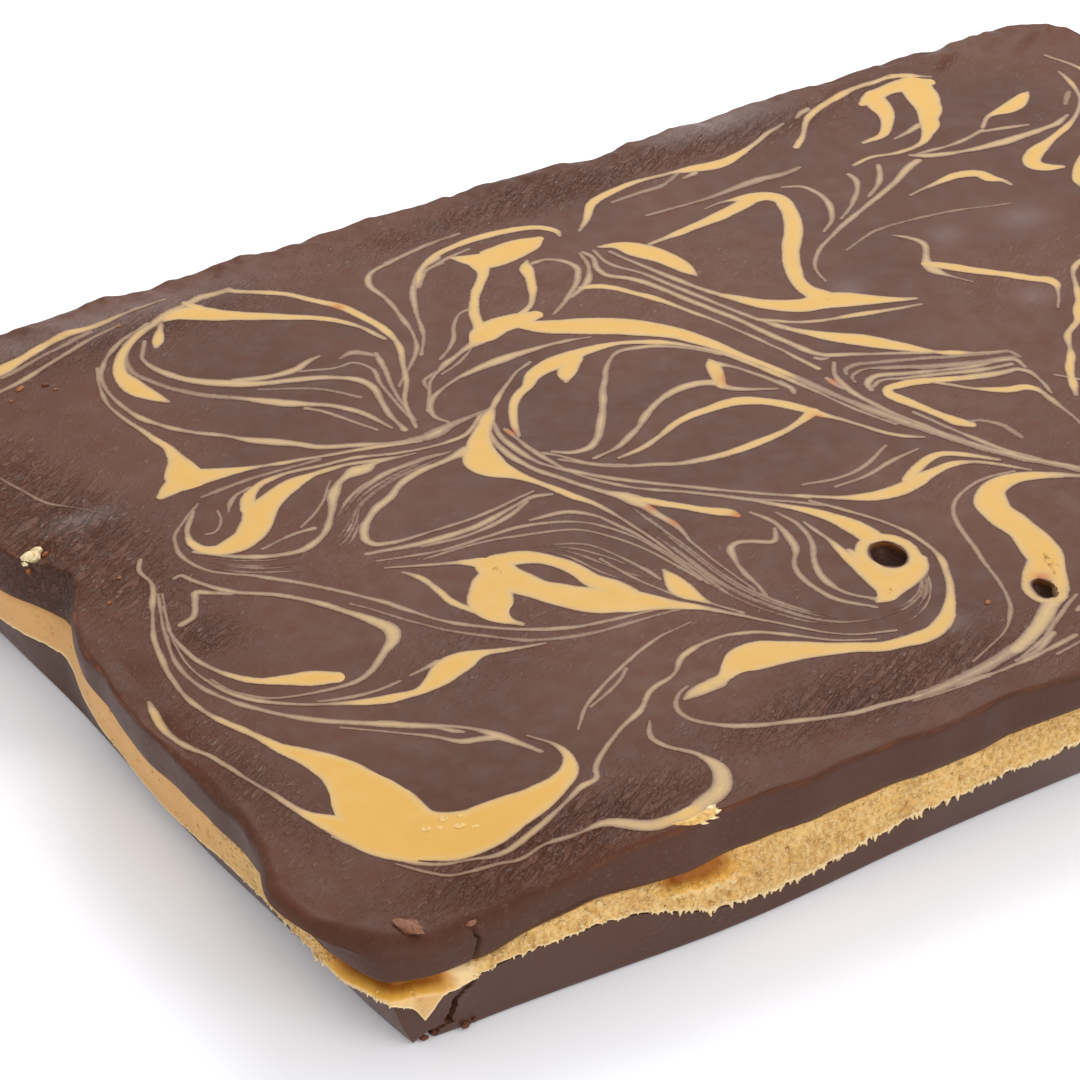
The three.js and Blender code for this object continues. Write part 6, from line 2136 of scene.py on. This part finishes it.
@dataclass(frozen=True)
class Chips:
    """Bits that broke off, the torn end of a drip, and small blisters in the fudge."""

    form: TrayForm
    sides: int = 9
    bands: int = 5
    ragged: float = 0.26
    # A blister's raggedness, and a prong's finest radius, its height to its width and the step along it
    blister_ragged: float = 0.05
    prong_least: float = 0.05
    prong_flat: float = 0.6
    prong_step: float = 0.35
    sunk: float = 0.25
    seed: int = 5
    bits: tuple[Chip, ...] = (
        # The flake at the near corner and the torn bit over the crack
        Chip(ChipTone.FLAKE, (-154.2, -106.9), (6.4, 2.8, 1.7), -65.0),
        Chip(ChipTone.FLAKE, (-153.0, -106.2), (3.0, 1.6, 1.3), -40.0),
        Chip(ChipTone.FLAKE, (-143.4, -110.6), (2.6, 1.1, 0.9), 10.0),
        # The pale chip in the pleat's pit
        Chip(ChipTone.CREAM, (-154.9, 31.3), (4.6, 3.2, 2.4), 35.0),
        Chip(ChipTone.CREAM, (-153.0, 32.6), (2.6, 1.8, 1.6), -20.0),
        Chip(ChipTone.AMBER, (-156.2, 29.6), (1.6, 1.1, 1.2), 60.0),
        Chip(ChipTone.AMBER, (-152.0, 30.4), (1.4, 1.0, 1.0), 10.0),
        # Specks on the face
        Chip(ChipTone.AMBER, (-9.7, -84.8), (1.5, 1.1, 0.5), 20.0),
        Chip(ChipTone.AMBER, (-127.0, 89.0), (2.4, 1.2, 0.6), 30.0),
        Chip(ChipTone.CHOCOLATE, (-122.0, 87.5), (1.8, 1.1, 0.6), -15.0),
        Chip(ChipTone.AMBER, (-131.0, 85.3), (0.9, 0.7, 0.4)),
        Chip(ChipTone.AMBER, (-121.0, 84.7), (0.9, 0.7, 0.4)),
        Chip(ChipTone.AMBER, (-97.5, 100.3), (1.0, 0.8, 0.4)),
        Chip(ChipTone.AMBER, (-144.5, 14.0), (1.0, 0.8, 0.4)),
        Chip(ChipTone.AMBER, (-150.5, 7.3), (1.0, 0.8, 0.4)),
        # Blisters in the near pool
        Chip(ChipTone.BUBBLE, (-137.6, -86.2), (2.2, 1.8, 0.19)),
        Chip(ChipTone.BUBBLE, (-135.2, -87.4), (1.6, 1.3, 0.18)),
        Chip(ChipTone.BUBBLE, (-133.4, -85.6), (2.0, 1.6, 0.19)),
        Chip(ChipTone.BUBBLE, (-131.8, -88.6), (2.6, 2.0, 0.2)),
        Chip(ChipTone.BUBBLE, (-129.6, -90.3), (1.7, 1.3, 0.18)),
        Chip(ChipTone.BUBBLE, (-130.4, -86.4), (1.4, 1.1, 0.17)),
        # Crumbs at the foot of the crack
        Chip(ChipTone.CHOCOLATE, (-144.0, -109.3, 0.8), (2.2, 1.2, 1.2), 10.0),
        Chip(ChipTone.CHOCOLATE, (-142.3, -109.3, 1.3), (1.3, 0.9, 0.9), 40.0),
        Chip(ChipTone.CHOCOLATE, (-151.8, -107.9, 0.5), (1.8, 1.1, 1.0), -20.0),
        Chip(ChipTone.CHOCOLATE, (-149.8, -108.1, 1.1), (1.4, 1.0, 1.1), 30.0),
        Chip(ChipTone.CHOCOLATE, (-147.8, -108.4, 2.0), (1.2, 0.8, 0.9), 65.0))

    # The torn end of the drip over the front rim: a ridge and its prongs, each with places and radii along it
    torn: tuple[tuple[ChipTone, tuple[tuple[float, float, float, float], ...]], ...] = (
        (ChipTone.BUBBLE, (
            (-101.2, -110.6, 28.4, 0.2), (-99.0, -111.6, 28.4, 0.8), (-96.4, -111.9, 28.5, 1.1),
            (-94.0, -111.7, 28.6, 1.1), (-92.4, -111.3, 28.5, 0.7), (-91.6, -111.0, 28.4, 0.1))),
        (ChipTone.CREAM, (
            (-94.6, -111.2, 28.8, 0.2), (-92.9, -110.9, 28.9, 0.7), (-91.6, -110.4, 28.8, 0.1))),
        (ChipTone.CREAM, (
            (-94.2, -111.7, 28.6, 0.3), (-92.8, -111.9, 28.6, 0.65), (-91.4, -111.9, 28.5, 0.1))),
        (ChipTone.CREAM, (
            (-95.2, -112.1, 28.3, 0.2), (-93.9, -112.5, 28.2, 0.55), (-92.6, -112.9, 27.9, 0.08))),
        (ChipTone.CREAM, (
            (-97.0, -112.2, 28.1, 0.2), (-95.9, -112.6, 27.9, 0.5), (-94.8, -113.0, 27.6, 0.08))))

    def prong(self, spine: Sequence[Sequence[float]]) -> list[Array]:
        """Rings of a flattened tube along a spine.

        Args:
            spine: Its places and its radius at each.

        Returns:
            Rings from its start to its end.
        """
        path = smooth_path([(x, y, radius, z) for x, y, z, radius in spine], self.prong_step)
        turns = np.linspace(0.0, 2.0 * math.pi, self.sides, endpoint=False)
        ahead = np.gradient(path[:, :2], axis=0)
        ahead /= np.linalg.norm(ahead, axis=1)[:, None]
        rings = []
        for (x, y, radius, z), (east, north) in zip(path, ahead):
            reach = max(radius, self.prong_least)
            side, rise = reach * np.cos(turns), self.prong_flat * reach * np.sin(turns)
            rings.append(np.column_stack([x - north * side, y + east * side, z + rise]))
        return rings

    def lump(self, chip: Chip, middle: Array, draw: np.random.Generator) -> list[Array]:
        """Rings of one ragged lump.

        Args:
            chip: The bit.
            middle: Where it rests.
            draw: The source of its raggedness.

        Returns:
            Rings from the lowest up.
        """
        turns = np.linspace(0.0, 2.0 * math.pi, self.sides, endpoint=False)
        tilt = math.radians(chip.turn_deg)
        east, north = math.cos(tilt), math.sin(tilt)
        rings = []
        for lift in np.linspace(-math.pi / 2.0, math.pi / 2.0, self.bands + 2)[1:-1]:
            ragged = self.blister_ragged if chip.tone is ChipTone.BUBBLE else self.ragged
            reach = 0.5 * math.cos(lift) * draw.uniform(1.0 - ragged, 1.0 + ragged, self.sides)
            across, ahead = chip.size[0] * reach * np.cos(turns), chip.size[1] * reach * np.sin(turns)
            rise = chip.size[2] * (0.5 + 0.5 * math.sin(lift) - self.sunk)
            rings.append(middle + np.column_stack([
                across * east - ahead * north, across * north + ahead * east,
                rise + 0.45 * ragged * chip.size[2] * draw.uniform(-1.0, 1.0, self.sides)]))
        return rings

    def build(self, face: Piece) -> Piece:
        """Builds every bit as one piece.

        Args:
            face: The top layer's piece, which most of them rest on.

        Returns:
            The finished piece.
        """
        draw = np.random.default_rng(self.seed)
        bpy.context.view_layer.update()
        points, faces, tints, count = [], [], [], 0
        stacks = [(tone, self.prong(spine)) for tone, spine in self.torn]
        for chip in self.bits:
            middle = np.array(chip.place)
            if len(middle) == 2:
                over = to_world(np.array([[*chip.place, self.form.height * 2.0]]))[0]
                hit, place, _, _ = face.ray_cast(over, (0.0, 0.0, -1.0))
                height = place[2] / MM if hit else self.form.height - 2.0
                middle = np.array([*chip.place, height])
            stacks.append((chip.tone, self.lump(chip, middle, draw)))
        for tone, rings in stacks:
            spots, sides = skin(rings)
            points.append(spots)
            faces += [[corner + count for corner in side] for side in sides]
            tints.append(np.tile(linear(tone.value)[:3], (len(spots), 1)))
            count += len(spots)
        piece = new_object("loose_chips", np.concatenate(points), faces)
        set_attribute(piece, "tint", np.concatenate(tints))
        shade(piece, 40.0)
        return register(ChipFinish("broken_crumb").dress(piece), "chocolate_top")


@dataclass(frozen=True)
class Studio:
    """White sweep, soft light from the right and behind, and the photograph's camera."""

    elevation_deg: float = 32.382
    azimuth_deg: float = 56.693
    focal_mm: float = 143.33
    sensor_mm: float = 36.0
    eye: Point = (-459.59, -613.41, 479.43)
    floor_half: float = 2.5
    floor_drop: float = 0.0002
    world_colour: str = "#FFFFFF"
    world_strength: float = 0.70
    key_place: Point = (0.50, 0.69, 0.79)
    key_size: float = 0.67
    key_watts: float = 8.3
    fill_place: Point = (-0.1, -1.4, 0.9)
    fill_size: float = 1.4
    fill_watts: float = 12.0

    def build(self) -> None:
        """Sets the camera, the floor and the lights."""
        scene = bpy.context.scene
        scene.view_settings.view_transform = "Standard"
        lens = bpy.data.cameras.new("camera")
        lens.lens = self.focal_mm
        lens.sensor_width = self.sensor_mm
        camera = bpy.data.objects.new("camera", lens)
        camera.location = to_world(np.array([self.eye]))[0]
        tilt, turn = math.radians(90.0 - self.elevation_deg), math.radians(self.azimuth_deg - 90.0)
        camera.rotation_euler = (tilt, 0.0, turn)
        scene.collection.objects.link(camera)
        scene.camera = camera
        half = self.floor_half / MM
        corners = np.array([(-half, -half, 0.0), (half, -half, 0.0), (half, half, 0.0), (-half, half, 0.0)])
        floor = new_object("floor", corners - np.array([0.0, 0.0, self.floor_drop / MM]), [(0, 1, 2, 3)])
        PaperFloorFinish("white_sweep_paper").dress(floor)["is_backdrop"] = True
        world = bpy.data.worlds.new("studio")
        world.use_nodes = True
        world.node_tree.nodes["Background"].inputs["Color"].default_value = linear(self.world_colour)
        world.node_tree.nodes["Background"].inputs["Strength"].default_value = self.world_strength
        scene.world = world
        self.lamp("key", self.key_place, self.key_size, self.key_watts)
        self.lamp("fill", self.fill_place, self.fill_size, self.fill_watts)

    def lamp(self, name: str, place: Point, size: float, watts: float) -> None:
        """Hangs one soft square lamp that faces the slab.

        Args:
            name: The lamp's name.
            place: Where it hangs, in metres.
            size: Its side, in metres.
            watts: Its power.
        """
        light = bpy.data.lights.new(name, "AREA")
        light.size = size
        light.energy = watts
        lamp = bpy.data.objects.new(name, light)
        lamp.location = place
        lamp.rotation_euler = (-Vector(place)).to_track_quat("-Z", "Y").to_euler()
        bpy.context.scene.collection.objects.link(lamp)


def write_sizes() -> None:
    """Works out the solids' box and the dressed model's box."""
    boxes = {"cad": CAD_BOX, "visual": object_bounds()}
    {name: [[float(value) for value in corner] for corner in box] for name, box in boxes.items()}


def main() -> None:
    """Builds the slab's layers, its marbling and the studio."""
    logging.basicConfig(level=logging.INFO, format="%(name)s %(message)s")
    form = TrayForm()
    Studio().build()
    BaseLayer(form).build()
    FillingLayer(form).build()
    top = TopLayer(form)
    face = top.build()
    Marbling(form, top, STREAKS, FANS).build(face)
    Chips(form).build(face)
    write_sizes()


if __name__ == "__main__":
    main()
